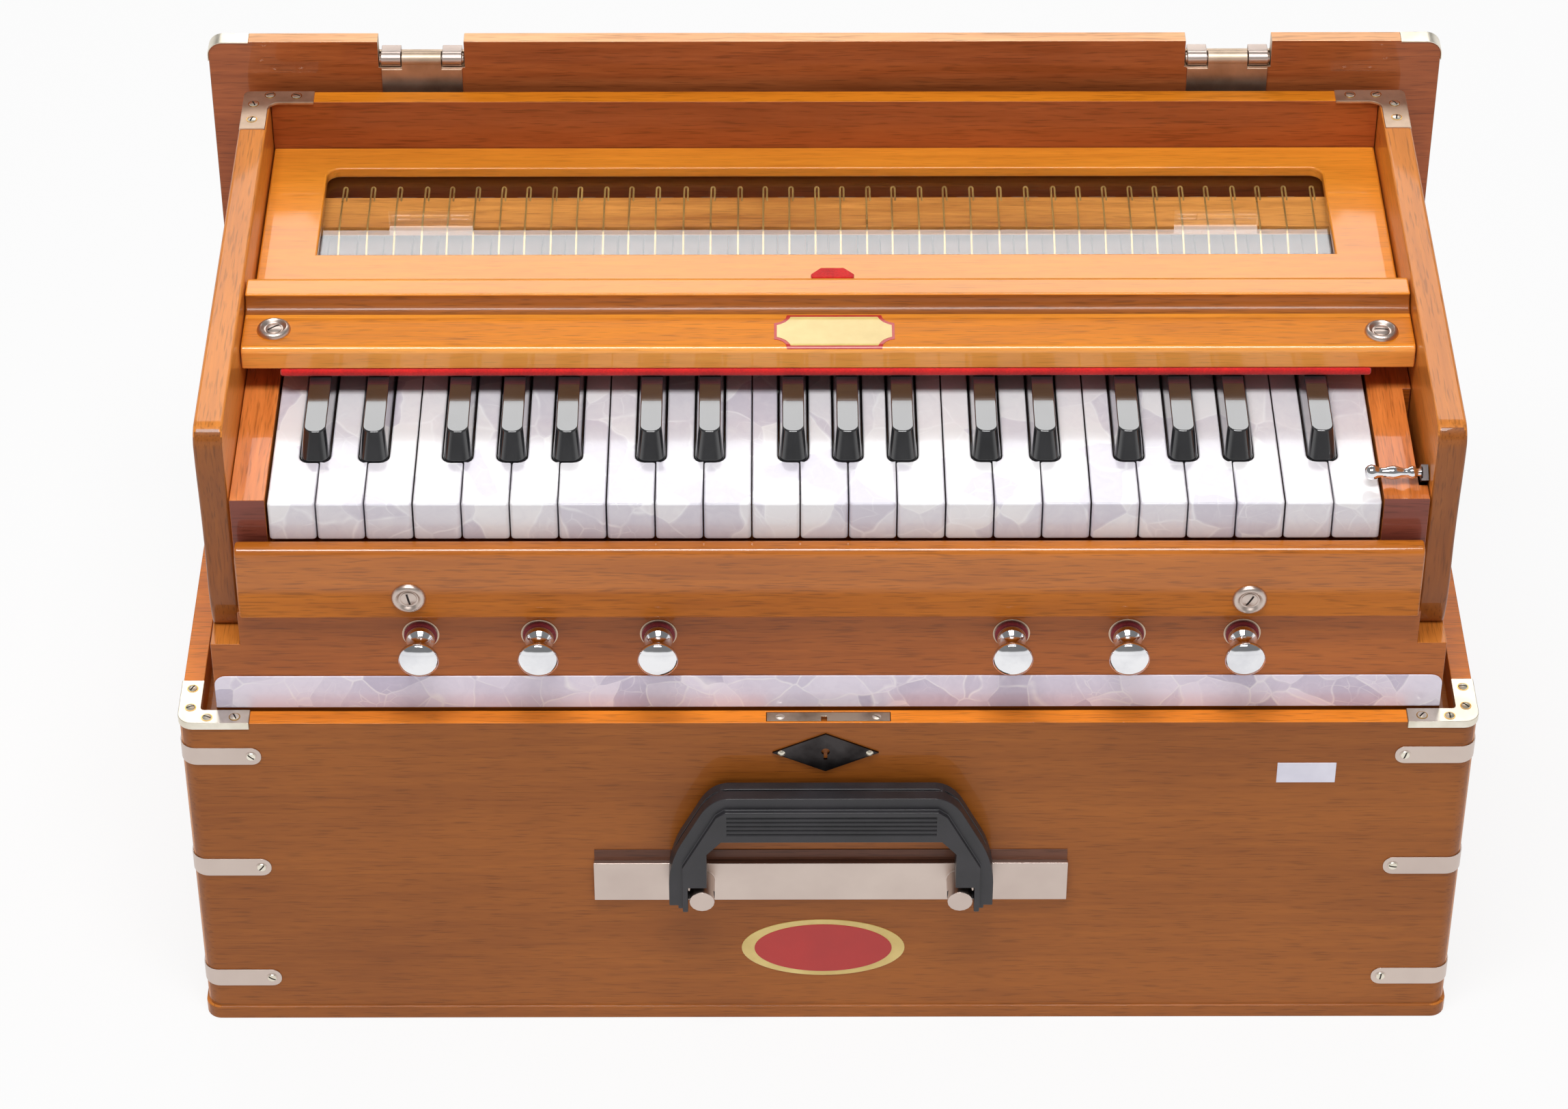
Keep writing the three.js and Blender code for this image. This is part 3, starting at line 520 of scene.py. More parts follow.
class Finish(Enum):
    """Every finish of the instrument."""

    CASE = Lacquer("case_lacquer_across", (155, 87, 30), pores=0.26, coat=0.22)
    CASE_DEEP = Lacquer("case_lacquer_deep", (204, 122, 48), Grain.DEEP, coat=0.3, shift=0.31)
    UPRIGHT = Lacquer("case_lacquer_upright", (154, 87, 32), Grain.UPRIGHT, coat=0.4, shift=0.52)
    # Painted light: the case rim's top, paler than the case wood, lifting the shade that the chest casts on
    # it.
    RIM = Lacquer("rim_painted_light", (226, 128, 30), coat=0.15, shift=0.66)
    # Painted shade: the name rail's cove, darker than the rail.
    COVE = Lacquer("cove_painted_shade", (150, 82, 26), coat=0.3, shift=0.38)
    # Painted highlight: the name rail's nose, paler than the rail.
    NOSE = Lacquer("nose_painted_highlight", (250, 166, 78), spread=0.12, pores=0.14, shift=0.15)
    SHELF = Lacquer("shelf_lacquer", (210, 122, 26), coat=0.0, shift=0.35)
    SLIP = Lacquer("slip_lacquer", (186, 104, 28), coat=0.8, shift=0.8, bare_below_mm=246.0)
    PANEL = Lacquer("panel_lacquer", (172, 92, 30), coat=0.4, shift=0.27)
    RAIL = Lacquer("rail_lacquer_across", (230, 142, 42), spread=0.16, pores=0.15, coat=0.6, shift=0.17)
    RAIL_DEEP = Lacquer(
        "rail_lacquer_deep", (230, 142, 42), Grain.DEEP, spread=0.18, pores=0.2, coat=0.5, shift=0.44
    )
    BLOCK = Lacquer("block_lacquer", (226, 132, 62), Grain.DEEP, spread=0.3, coat=0.4, shift=0.61)
    BLOCK_END = Lacquer("block_end", (126, 64, 50), spread=0.25, coat=0.4)
    WALL = Lacquer("wall_lacquer", (166, 86, 40), coat=0.5, shift=0.23)
    # Painted highlight: the pumping board's top, paler than its front.
    BOARD_EDGE = Lacquer("board_top_painted_highlight", (250, 186, 134), shift=0.57)
    MAHOGANY = Lacquer("mahogany", (170, 92, 48), spread=0.28, coat=0.4, shift=0.71)
    MAHOGANY_UPRIGHT = Lacquer("mahogany_upright", (166, 110, 70), Grain.UPRIGHT, coat=0.4, shift=0.13)
    GOLDEN = Lacquer("golden_bar", (186, 124, 56), spread=0.4, coat=0.3, shift=0.9)
    BARE = Lacquer("bare_wood", (90, 74, 68), Grain.DEEP, roughness=0.6, coat=0.0)
    # Painted shade and reflection: a dark band standing above the handle plate.
    BACKING = Lacquer("plate_shade_paint", (108, 66, 48), coat=0.2, shift=0.4)
    CHROME = Metal("chrome", (240, 240, 242), (222, 222, 226), 0.05, 0.05)
    CREAM = Metal("cream_nickel", (240, 233, 218), (214, 205, 186), 0.34)
    SATIN = Metal("satin_nickel", (210, 194, 184), (198, 181, 172), 0.36, 0.06, 20.0)
    DULL = Metal("dull_nickel", (190, 174, 150), (140, 124, 102), 0.3)
    LEAF = Metal("leaf_nickel", (216, 194, 172), (186, 164, 142), 0.48)
    BRASS = Metal("brass", (222, 180, 100), (170, 126, 62), 0.25)
    STEEL = Metal("black_steel", (70, 66, 66), (38, 34, 34), 0.3)
    DARK_BRASS = Moulded("dark_brass", (182, 150, 84), (140, 110, 60), 0.3, 0.6)
    # Painted highlight: the springs' arms over the bar, paler than the loops of the same wire.
    GILT = Moulded("wire_painted_highlight", (250, 214, 136), (226, 180, 96), 0.3, 0.5)
    BLACK_KEY = Moulded("black_key_stock", (44, 44, 46), (34, 34, 36), 0.14, 1.0, 0.03)
    GRIP = Moulded("grip_moulding", (48, 46, 50), (36, 35, 38), 0.4, 0.0, 0.2, 900.0)
    PAPER = Moulded("paper", (236, 234, 246), (224, 222, 236), 0.8)
    RED_ENAMEL = Moulded("red_enamel", (190, 38, 32), (182, 34, 29), 0.35, 0.2, 0.04)
    CREAM_ENAMEL = Moulded("cream_enamel", (232, 206, 128), (214, 184, 104), 0.35, 0.4)
    WHITE_KEY = Pearl("pearl_key", (236, 234, 236), (208, 203, 214), (248, 248, 250))
    STRIP = Pearl("pearl_strip", (234, 226, 240), (200, 191, 212), (248, 244, 248), 60.0, 0.8)
    FELT = Felt("red_felt", (228, 26, 24), (176, 10, 14))
    DARK_FELT = Felt("dark_red_felt", (140, 24, 34), (96, 10, 18))
    CLOTH = Felt("bellows_cloth", (74, 40, 30), (44, 22, 16), 500.0)
    GLASS = Pane("pane", (240, 240, 242))


@functools.cache
def mixed(finish: Finish) -> bpy.types.Material:
    """The material of a finish, mixed when it is first asked for."""
    return finish.value.mix()


def select_only(piece: Piece) -> None:
    """Make one object the only selected one, and the active one.

    Args:
        piece: The object.
    """
    bpy.ops.object.select_all(action="DESELECT")
    piece.select_set(True)
    bpy.context.view_layer.objects.active = piece


def modify(piece: Piece, kind: str, **settings: object) -> None:
    """Add a modifier and apply it.

    Args:
        piece: The object to work on.
        kind: Blender's name of the modifier type.
        **settings: Properties of the modifier.
    """
    select_only(piece)
    modifier = piece.modifiers.new(kind.title(), kind)
    for name, value in settings.items():
        setattr(modifier, name, value)
    bpy.ops.object.modifier_apply(modifier=modifier.name)


def soften(piece: Piece, width_mm: float, segments: int = 2, limit: float = 35.0) -> None:
    """Round the sharp edges of a piece.

    Args:
        piece: The object to work on.
        width_mm: Width of the rounding.
        segments: Steps in the rounding.
        limit: The least angle, in degrees, that counts as sharp.
    """
    sharp = {"limit_method": "ANGLE", "angle_limit": math.radians(limit)}
    modify(piece, "BEVEL", width=width_mm * MM, segments=segments, use_clamp_overlap=False, **sharp)


def smooth(piece: Piece, limit: float = 40.0) -> Piece:
    """Shade a piece smooth except across sharp edges, and keep its flats even.

    Args:
        piece: The piece.
        limit: The least angle, in degrees, that counts as sharp.

    Returns:
        The same piece.
    """
    select_only(piece)
    bpy.ops.object.shade_smooth_by_angle(angle=math.radians(limit))
    modify(piece, "WEIGHTED_NORMAL", keep_sharp=True)
    return piece


def pick(piece: Piece, kind: str, test: Callable[[object], bool]) -> None:
    """Enter edit mode with only the faces or edges that pass a test selected.

    Args:
        piece: The object to work on.
        kind: FACE or EDGE.
        test: Takes a face or an edge of the mesh.
    """
    select_only(piece)
    bpy.ops.object.mode_set(mode="EDIT")
    bpy.ops.mesh.select_mode(type=kind)
    bpy.ops.mesh.select_all(action="DESELECT")
    bpy.ops.object.mode_set(mode="OBJECT")
    for part in piece.data.polygons if kind == "FACE" else piece.data.edges:
        part.select = test(part)
    bpy.ops.object.mode_set(mode="EDIT")


def leave() -> None:
    """Make the normals point outwards and leave edit mode."""
    bpy.ops.mesh.select_all(action="SELECT")
    bpy.ops.mesh.normals_make_consistent(inside=False)
    bpy.ops.object.mode_set(mode="OBJECT")


def ends_of(piece: Piece, edge: bpy.types.MeshEdge) -> list[Vector]:
    """The two ends of an edge."""
    return [piece.data.vertices[index].co for index in edge.vertices]


def bevel_picked(radius_mm: float, segments: int) -> None:
    """Round the picked edges and leave edit mode."""
    bpy.ops.mesh.bevel(offset=radius_mm * MM, segments=segments, affect="EDGES")
    leave()


def push(by: Sequence[float]) -> None:
    """Extrude the picked faces by a vector in metres."""
    bpy.ops.mesh.extrude_region_move(TRANSFORM_OT_translate={"value": tuple(by)})


def block(name: str, one: Sequence[float], other: Sequence[float]) -> Piece:
    """A box between two opposite corners in metres, as a blank for further work.

    Args:
        name: The piece's name.
        one: One corner.
        other: The corner opposite to it.

    Returns:
        The blank.
    """
    low, high = Vector(map(min, one, other)), Vector(map(max, one, other))
    bpy.ops.object.select_all(action="DESELECT")
    bpy.ops.mesh.primitive_cube_add(size=1, location=(low + high) / 2, scale=high - low)
    piece = bpy.context.object
    piece.name = name
    bpy.ops.object.transform_apply(location=True, rotation=True, scale=True)
    return piece


def blank(name: str, across: Pair, back: Pair, up: Pair) -> Piece:
    """A box whose sides are given in millimetres across, back and up."""
    return block(name, *(spot(*corner) for corner in zip(across, back, up)))


def sawn(name: str, outline: Sequence[Pair], start: float, end: float, flat: bool = False) -> Piece:
    """A board sawn to an outline.

    Args:
        name: The piece's name.
        outline: Points across and up in millimetres, or across and back when the board lies flat.
        start: Where its thickness starts, back, or up when it lies flat.
        end: Where its thickness ends.
        flat: Whether the board lies flat.

    Returns:
        The board.
    """
    bpy.ops.object.select_all(action="DESELECT")
    bpy.ops.mesh.primitive_circle_add(vertices=len(outline), fill_type="NGON")
    piece = bpy.context.object
    piece.name = name
    for vertex, (across, second) in zip(piece.data.vertices, outline):
        vertex.co = spot(across, second, start) if flat else spot(across, start, second)
    bpy.ops.object.mode_set(mode="EDIT")
    bpy.ops.mesh.select_all(action="SELECT")
    thick = (end - start) * MM
    push((0, 0, thick) if flat else (0, thick, 0))
    leave()
    return piece


def mirrored(outline: Sequence[Pair], middle: float = 0.0) -> list[Pair]:
    """Close an outline's right half with its mirror image about a middle."""
    return [*outline, *((2 * middle - across, second) for across, second in reversed(outline))]


def round_edges(
    piece: Piece, axis: int, places: Sequence[Vector], radius_mm: float, segments: int = 6
) -> None:
    """Round the edges that run along an axis through some places.

    Args:
        piece: The piece to work on.
        axis: Number of the axis.
        places: A place on each edge.
        radius_mm: Radius of the rounding.
        segments: Steps in the rounding.
    """
    others = [number for number in range(3) if number != axis]

    def passes(edge: bpy.types.MeshEdge) -> bool:
        """Tell whether an edge runs through one of the places."""
        ends = ends_of(piece, edge)
        return any(
            all(abs(end[number] - place[number]) < 0.02 * MM for end in ends for number in others)
            for place in places
        )

    pick(piece, "EDGE", passes)
    bevel_picked(radius_mm, segments)


def bent_band(
    name: str, low: Vector, high: Vector, corner: Vector, axis: int, radius_mm: float, thick_mm: float
) -> Piece:
    """A flat band bent round a corner.

    Args:
        name: The band's name.
        low: The lowest corner of the space that the band and what it wraps fill.
        high: The highest corner of that space.
        corner: A place on the band's outer corner edge.
        axis: Number of the axis that the corner runs along.
        radius_mm: Radius of the wrapped corner.
        thick_mm: Thickness of the band.

    Returns:
        The band.
    """
    band = block(name, low, high)
    round_edges(band, axis, [corner], radius_mm + thick_mm, 8)
    inner = [low.copy(), high.copy()]
    inner_corner = corner.copy()
    over = 5 * MM
    for number in range(3):
        if number == axis:
            inner[0][number] -= over
            inner[1][number] += over
        elif abs(corner[number] - high[number]) < abs(corner[number] - low[number]):
            inner[0][number] -= over
            inner[1][number] -= thick_mm * MM
            inner_corner[number] = inner[1][number]
        else:
            inner[0][number] += thick_mm * MM
            inner[1][number] += over
            inner_corner[number] = inner[0][number]
    cutter = block("inside", *inner)
    round_edges(cutter, axis, [inner_corner], radius_mm, 8)
    cut_away(band, cutter)
    return band


def wire(name: str, places: Sequence[Vector], radius_mm: float) -> Piece:
    """A bent wire of few sides.

    Args:
        name: The piece's name.
        places: The points that its middle line follows.
        radius_mm: Radius of the wire.

    Returns:
        The wire as a mesh.
    """
    curve = bpy.data.curves.new(name, "CURVE")
    curve.dimensions = "3D"
    curve.bevel_depth = radius_mm * MM
    curve.bevel_resolution = 0
    curve.use_fill_caps = True
    line = curve.splines.new("POLY")
    line.points.add(len(places) - 1)
    for point, place in zip(line.points, places):
        point.co = (*place, 1.0)
    piece = bpy.data.objects.new(name, curve)
    bpy.context.scene.collection.objects.link(piece)
    select_only(piece)
    bpy.ops.object.convert(target="MESH")
    return bpy.context.object


def turned(name: str, profile_mm: Sequence[Pair], sides: int = 32) -> Piece:
    """A turned piece around the Z axis.

    Args:
        name: The piece's name.
        profile_mm: Height and radius of each ring, from one end to the other.
        sides: Number of sides.

    Returns:
        The piece, standing at the origin.
    """
    height, radius = profile_mm[0]
    bpy.ops.object.select_all(action="DESELECT")
    bpy.ops.mesh.primitive_circle_add(
        vertices=sides, radius=radius * MM, fill_type="NGON", location=(0, 0, height * MM)
    )
    piece = bpy.context.object
    piece.name = name
    bpy.ops.object.transform_apply(location=True, rotation=True, scale=True)
    bpy.ops.object.mode_set(mode="EDIT")
    bpy.ops.mesh.select_mode(type="FACE")
    bpy.ops.mesh.select_all(action="SELECT")
    for next_height, next_radius in profile_mm[1:]:
        push((0, 0, (next_height - height) * MM))
        grow = next_radius / radius
        bpy.ops.transform.resize(value=(grow, grow, 1), center_override=(0, 0, next_height * MM))
        height, radius = next_height, next_radius
    leave()
    return piece


def placed(piece: Piece, matrix: Matrix) -> Piece:
    """Move a piece's mesh by a matrix and return the piece."""
    piece.data.transform(matrix)
    return piece


def copied(master: Piece, name: str, matrix: Matrix) -> Piece:
    """A copy of a piece with its own mesh, moved by a matrix.

    Args:
        master: The piece to copy.
        name: The copy's name.
        matrix: Where the copy goes.

    Returns:
        The copy.
    """
    copy = bpy.data.objects.new(name, master.data.copy())
    bpy.context.scene.collection.objects.link(copy)
    return placed(copy, matrix)


def joined(name: str, pieces: Sequence[Piece]) -> Piece:
    """Put several pieces into one object.

    Args:
        name: The object's name.
        pieces: The pieces, of which the first takes the others in.

    Returns:
        The object.
    """
    select_only(pieces[0])
    for piece in pieces:
        piece.select_set(True)
    bpy.ops.object.join()
    pieces[0].name = name
    return pieces[0]


def cut_away(piece: Piece, cutter: Piece, operation: str = "DIFFERENCE") -> None:
    """Cut a piece with another, or keep only what they share, and throw the cutter away."""
    modify(piece, "BOOLEAN", object=cutter, operation=operation, solver="EXACT")
    bpy.data.objects.remove(cutter)


def split_concave(piece: Piece) -> None:
    """Split a piece's concave faces into convex ones.

    Args:
        piece: The piece.
    """
    pick(piece, "FACE", lambda _face: True)
    bpy.ops.mesh.vert_connect_concave()
    bpy.ops.object.mode_set(mode="OBJECT")


def refined(node: str, name: str, edge_mm: float = 0.0, segments: int = 2, pierced: bool = False) -> Piece:
    """A copy of a CAD node with merged faces and softened edges.

    Args:
        node: The node's name.
        name: The new piece's name.
        edge_mm: Width of the softened edges.
        segments: Steps in the softened edges.
        pierced: Whether it has notches or holes, so that its faces are split into convex ones.

    Returns:
        The new piece.
    """
    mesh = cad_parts[node].data.copy()
    mesh.materials.clear()
    piece = bpy.data.objects.new(name, mesh)
    bpy.context.scene.collection.objects.link(piece)
    select_only(piece)
    bpy.ops.object.mode_set(mode="EDIT")
    bpy.ops.mesh.select_all(action="SELECT")
    bpy.ops.mesh.remove_doubles(threshold=0.005 * MM)
    bpy.ops.mesh.dissolve_limited(angle_limit=math.radians(0.6))
    bpy.ops.object.mode_set(mode="OBJECT")
    if pierced:
        split_concave(piece)
    if edge_mm:
        soften(piece, edge_mm, segments)
    return piece


def sliced(piece: Piece, place: Vector, away: Sequence[float]) -> None:
    """Saw a piece off at a plane and close the cut.

    Args:
        piece: The piece.
        place: A place on the plane.
        away: The way in which the wasted part lies.
    """
    select_only(piece)
    bpy.ops.object.mode_set(mode="EDIT")
    bpy.ops.mesh.select_all(action="SELECT")
    bpy.ops.mesh.bisect(plane_co=place, plane_no=away, use_fill=True, clear_outer=True)
    leave()


def finish_with(piece: Piece, finish: Finish) -> Piece:
    """Give a whole piece one finish.

    Args:
        piece: The piece.
        finish: The finish.

    Returns:
        The same piece.
    """
    piece.data.materials.clear()
    piece.data.materials.append(mixed(finish))
    return piece


def polished(piece: Piece, finish: Finish, limit: float = 40.0) -> Piece:
    """Shade a piece smooth up to an angle, give it one finish and return it."""
    return finish_with(smooth(piece, limit), finish)


def paint(piece: Piece, finish: Finish, test: FaceTest) -> None:
    """Give the faces that pass a test a further finish.

    Args:
        piece: The object to paint.
        finish: The further finish.
        test: Takes a face's centre and normal.
    """
    piece.data.materials.append(mixed(finish))
    index = len(piece.data.materials) - 1
    for face in piece.data.polygons:
        if test(face.center, face.normal):
            face.material_index = index


def mount(piece: Piece, body: str, slot: Slot, *stood_for: str) -> None:
    """Let a piece ride on a body, hide the CAD nodes that it stands for and report it.

    Args:
        piece: The finished piece.
        body: The body that carries it.
        slot: Not used.
        *stood_for: CAD nodes that it stands for.
    """
    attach(piece, body)
    if stood_for:
        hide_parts(*stood_for)
    LOG.info("%s on %s, %d faces", piece.name, body, len(piece.data.polygons))


def trim(
    piece: Piece, edge_mm: float, finish: Finish, slot: Slot, body: str = "case", segments: int = 2
) -> None:
    """Soften, finish and mount a plain piece.

    Args:
        piece: The piece.
        edge_mm: Width of its softened edges.
        finish: Its finish.
        slot: The record's slot of that finish.
        body: The body that carries it.
        segments: Steps in the softened edges.
    """
    soften(piece, edge_mm, segments)
    mount(polished(piece, finish), body, slot)


class Screw(Enum):
    """The kinds of screw, by the names of their masters."""

    RINGED = "ringed_master"
    PLAIN = "plain_master"
    CUP = "cup_master"


@dataclass
class Fasteners:
    """Screws and their rings, modelled once and copied."""

    head_mm: float = 2.5
    rise_mm: float = 0.7
    slot_mm: float = 0.7
    turn_step: float = 2.4
    cup_mm: tuple[Pair, ...] = (
        (-0.5, 7.4), (0.3, 7.4), (1.3, 7.0), (1.9, 6.3), (2.1, 5.6), (1.8, 5.0), (0.9, 4.4), (0.6, 3.9)
    )
    cup_head_mm: tuple[Pair, ...] = ((0.3, 3.6), (1.0, 3.5), (1.45, 2.6), (1.6, 1.0))
    masters: dict[Screw, Piece] = field(default_factory=dict)
    used: int = 0

    def __post_init__(self) -> None:
        """Model the masters."""
        self.masters[Screw.RINGED] = self._screw(Screw.RINGED.value, Finish.BRASS)
        self.masters[Screw.PLAIN] = self._screw(Screw.PLAIN.value, Finish.SATIN)
        self.masters[Screw.CUP] = self._cup_screw()

    def _screw(self, name: str, ring: Finish) -> Piece:
        """A domed, slotted head in a thin ring.

        Args:
            name: The master's name.
            ring: The finish of the ring.

        Returns:
            The master, with its foot at the origin.
        """
        rise, radius = self.rise_mm, self.head_mm
        rim = radius * 0.84
        dome = ((0.2, 1.0), (0.6, 0.92), (0.9, 0.55), (1.0, 0.2))
        skirt = [(-0.5, radius), (rise * 0.2, radius)]
        head = turned(name, skirt + [(rise * up, rim * out) for up, out in dome], 20)
        finish_with(head, Finish.CREAM)
        half, long = self.slot_mm / 2, rim * 0.86
        low, high = Vector((-long, -half, rise * 0.1)), Vector((long, half, rise * 2))
        cut_away(head, block("slot", low * MM, high * MM))
        edge, floor = rim * 1.01 * MM, rise * 0.15 * MM
        paint(head, ring, lambda centre, _n: math.hypot(centre.x, centre.y) > edge)
        # Painted shade: the slot's floor is painted dark steel for the shade inside the slot.
        paint(head, Finish.STEEL, lambda centre, n: n.z > 0.9 and 0 < centre.z < floor)
        return smooth(head, 30)

    def _cup_screw(self) -> Piece:
        """A countersunk screw in a raised cup washer.

        Returns:
            The master, with its foot at the origin.
        """
        cup = finish_with(turned(Screw.CUP.value, self.cup_mm), Finish.SATIN)
        head = finish_with(turned("cup_head", self.cup_head_mm, 24), Finish.SATIN)
        cut_away(head, block("slot", Vector((-2.9, -0.45, 0.8)) * MM, Vector((2.9, 0.45, 3)) * MM))
        # Painted shade: the slot's floor is painted dark steel for the shade inside the slot.
        paint(head, Finish.STEEL, lambda centre, n: n.z > 0.9 and centre.z < 0.9 * MM)
        return smooth(joined(Screw.CUP.value, [cup, head]), 35)

    def drive(self, kind: Screw, place: Vector, stand: Matrix | None = None) -> Piece:
        """Copy a screw to its place with its slot at an angle of its own.

        Args:
            kind: The kind of screw.
            place: The middle of its seat.
            stand: How its axis is turned from upright.

        Returns:
            The copy.
        """
        self.used += 1
        spin = Matrix.Rotation(self.used * self.turn_step, 4, "Z")
        turn = stand or Matrix.Identity(4)
        return copied(self.masters[kind], f"screw_{self.used}", Matrix.Translation(place) @ turn @ spin)

    def put_away(self) -> None:
        """Remove the masters."""
        for master in self.masters.values():
            bpy.data.objects.remove(master)


@dataclass(frozen=True)
class Bracket:
    """A flat metal angle with four screws, drawn for the right-hand corner."""

    outline_mm: tuple[Pair, ...]
    corners_mm: tuple[tuple[float, float, float, int], ...]
    top_mm: float
    thick_mm: float
    edge_mm: float
    finish: Finish
    dull_within_mm: float = 0.0

    def fit(self, name: str, sign: int, seats_mm: Sequence[Pair], screws: Fasteners) -> None:
        """Saw, finish, screw down and mount it.

        Args:
            name: The bracket's name.
            sign: 1 for the right corner, -1 for the left one.
            seats_mm: Where its screws are, across and back.
            screws: The screws.
        """
        outline = [(sign * across, back) for across, back in self.outline_mm]
        plate = sawn(name, outline, self.top_mm - self.thick_mm, self.top_mm, flat=True)
        for across, back, radius, segments in self.corners_mm:
            round_edges(plate, 2, [spot(sign * across, back, 0)], radius, segments)
        soften(plate, self.edge_mm)
        polished(plate, self.finish)
        if self.dull_within_mm:
            paint(plate, Finish.DULL, lambda centre, _n: abs(centre.x) < self.dull_within_mm * MM)
        seats = [spot(sign * across, back, self.top_mm) for across, back in seats_mm]
        driven = [screws.drive(Screw.RINGED, seat) for seat in seats]
        mount(joined(name, [plate, *driven]), "case", Slot.CHROME)


@dataclass(frozen=True)
class Lamp:
    """One soft lamp."""

    name: str
    place: Place
    target: Place
    size: Pair
    power: float

    def hang(self) -> None:
        """Hang the lamp and point it at its target."""
        data = bpy.data.lights.new(self.name, "AREA")
        data.shape = "RECTANGLE"
        data.size, data.size_y = self.size
        data.energy = self.power
        lamp = bpy.data.objects.new(self.name, data)
        turn = (Vector(self.target) - Vector(self.place)).to_track_quat("-Z", "Y").to_matrix().to_4x4()
        lamp.matrix_world = Matrix.Translation(self.place) @ turn
        bpy.context.scene.collection.objects.link(lamp)


@dataclass
class Studio:
    """Floor, light and camera."""

    lens_mm: float = 107.48
    pitch: float = 39.25
    yaw: float = 0.16
    roll: float = 0.02
    place: Place = (-0.02362, -1.67095, 1.52069)
    floor_half_side: float = 6.0
    floor_glow: float = 0.86
    horizon: float = 0.2
    dusk: float = 0.32
    horizon_light: float = 0.95
    sky_light: float = 0.22
    lamps: tuple[Lamp, ...] = (
        Lamp("over_lamp", (-0.1, -0.75, 2.35), (0, 0.05, 0.2), (1.3, 0.6), 41),
        Lamp("back_lamp", (0, 1.58, 1.638), (0, 0.1, 0.3), (1.7, 0.45), 10.5),
    )

    def build(self) -> None:
        """Set up everything that isn't the instrument."""
        self._camera()
        self._floor()
        self._world()
        for lamp in self.lamps:
            lamp.hang()
        bpy.context.scene.view_settings.view_transform = "Standard"

    def _camera(self) -> None:
        """Place the camera from which the instrument is seen."""
        pitch, yaw, roll = (math.radians(angle) for angle in (self.pitch, self.yaw, self.roll))
        ahead = Vector((math.sin(yaw) * math.cos(pitch), math.cos(yaw) * math.cos(pitch), -math.sin(pitch)))
        level = Vector((math.cos(yaw), -math.sin(yaw), 0))
        above = level.cross(ahead)
        right = level * math.cos(roll) + above * math.sin(roll)
        top = above * math.cos(roll) - level * math.sin(roll)
        data = bpy.data.cameras.new("camera")
        data.lens = self.lens_mm
        data.sensor_width = 36
        data.sensor_fit = "HORIZONTAL"
        data.clip_start = 0.05
        data.clip_end = 50
        camera = bpy.data.objects.new("camera", data)
        turn = Matrix((right, top, -ahead)).transposed().to_4x4()
        camera.matrix_world = Matrix.Translation(self.place) @ turn
        bpy.context.scene.collection.objects.link(camera)
        bpy.context.scene.camera = camera

    def _floor(self) -> None:
        """Lay a plain pale floor that runs on out of sight and shows white."""
        bpy.ops.mesh.primitive_plane_add(size=2 * self.floor_half_side, location=(0, 0, 0))
        floor = bpy.context.object
        floor.name = "floor"
        recipe = Recipe("floor_paint")
        speck = recipe.noise(recipe.places(), 3.0, 2.0)
        recipe.set(
            Base_Color=recipe.ramp(speck, (0.3, (0.86, 0.86, 0.87)), (0.7, (0.88, 0.88, 0.88))),
            Roughness=0.75,
        )
        glow = recipe.node("Emission", {"Color": (1.0, 1.0, 1.0)})
        path = recipe.node("LightPath").outputs
        seen = recipe.sums("ADD", path["Is Camera Ray"], path["Is Glossy Ray"])
        seen = recipe.sums("MINIMUM", recipe.sums("ADD", seen, path["Is Transmission Ray"]), 1.0)
        recipe.overlay(recipe.sums("MULTIPLY", seen, self.floor_glow), glow.outputs[0])
        floor.data.materials.append(recipe.material)

    def _world(self) -> None:
        """Surround the scene with light that is white near the horizon and dim overhead."""
        world = bpy.data.worlds.new("studio")
        world.use_nodes = True
        bpy.context.scene.world = world
        nodes, links = world.node_tree.nodes, world.node_tree.links
        kinds = ("TexCoord", "SeparateXYZ", "ValToRGB")
        direction, parts, ramp = (nodes.new(f"ShaderNode{kind}") for kind in kinds)
        low, high = ramp.color_ramp.elements
        low.position, high.position = self.horizon, self.dusk
        low.color = (*(self.horizon_light,) * 3, 1.0)
        high.color = (*(self.sky_light,) * 3, 1.0)
        links.new(direction.outputs["Generated"], parts.inputs[0])
        links.new(parts.outputs["Z"], ramp.inputs["Fac"])
        links.new(ramp.outputs["Color"], nodes["Background"].inputs["Color"])


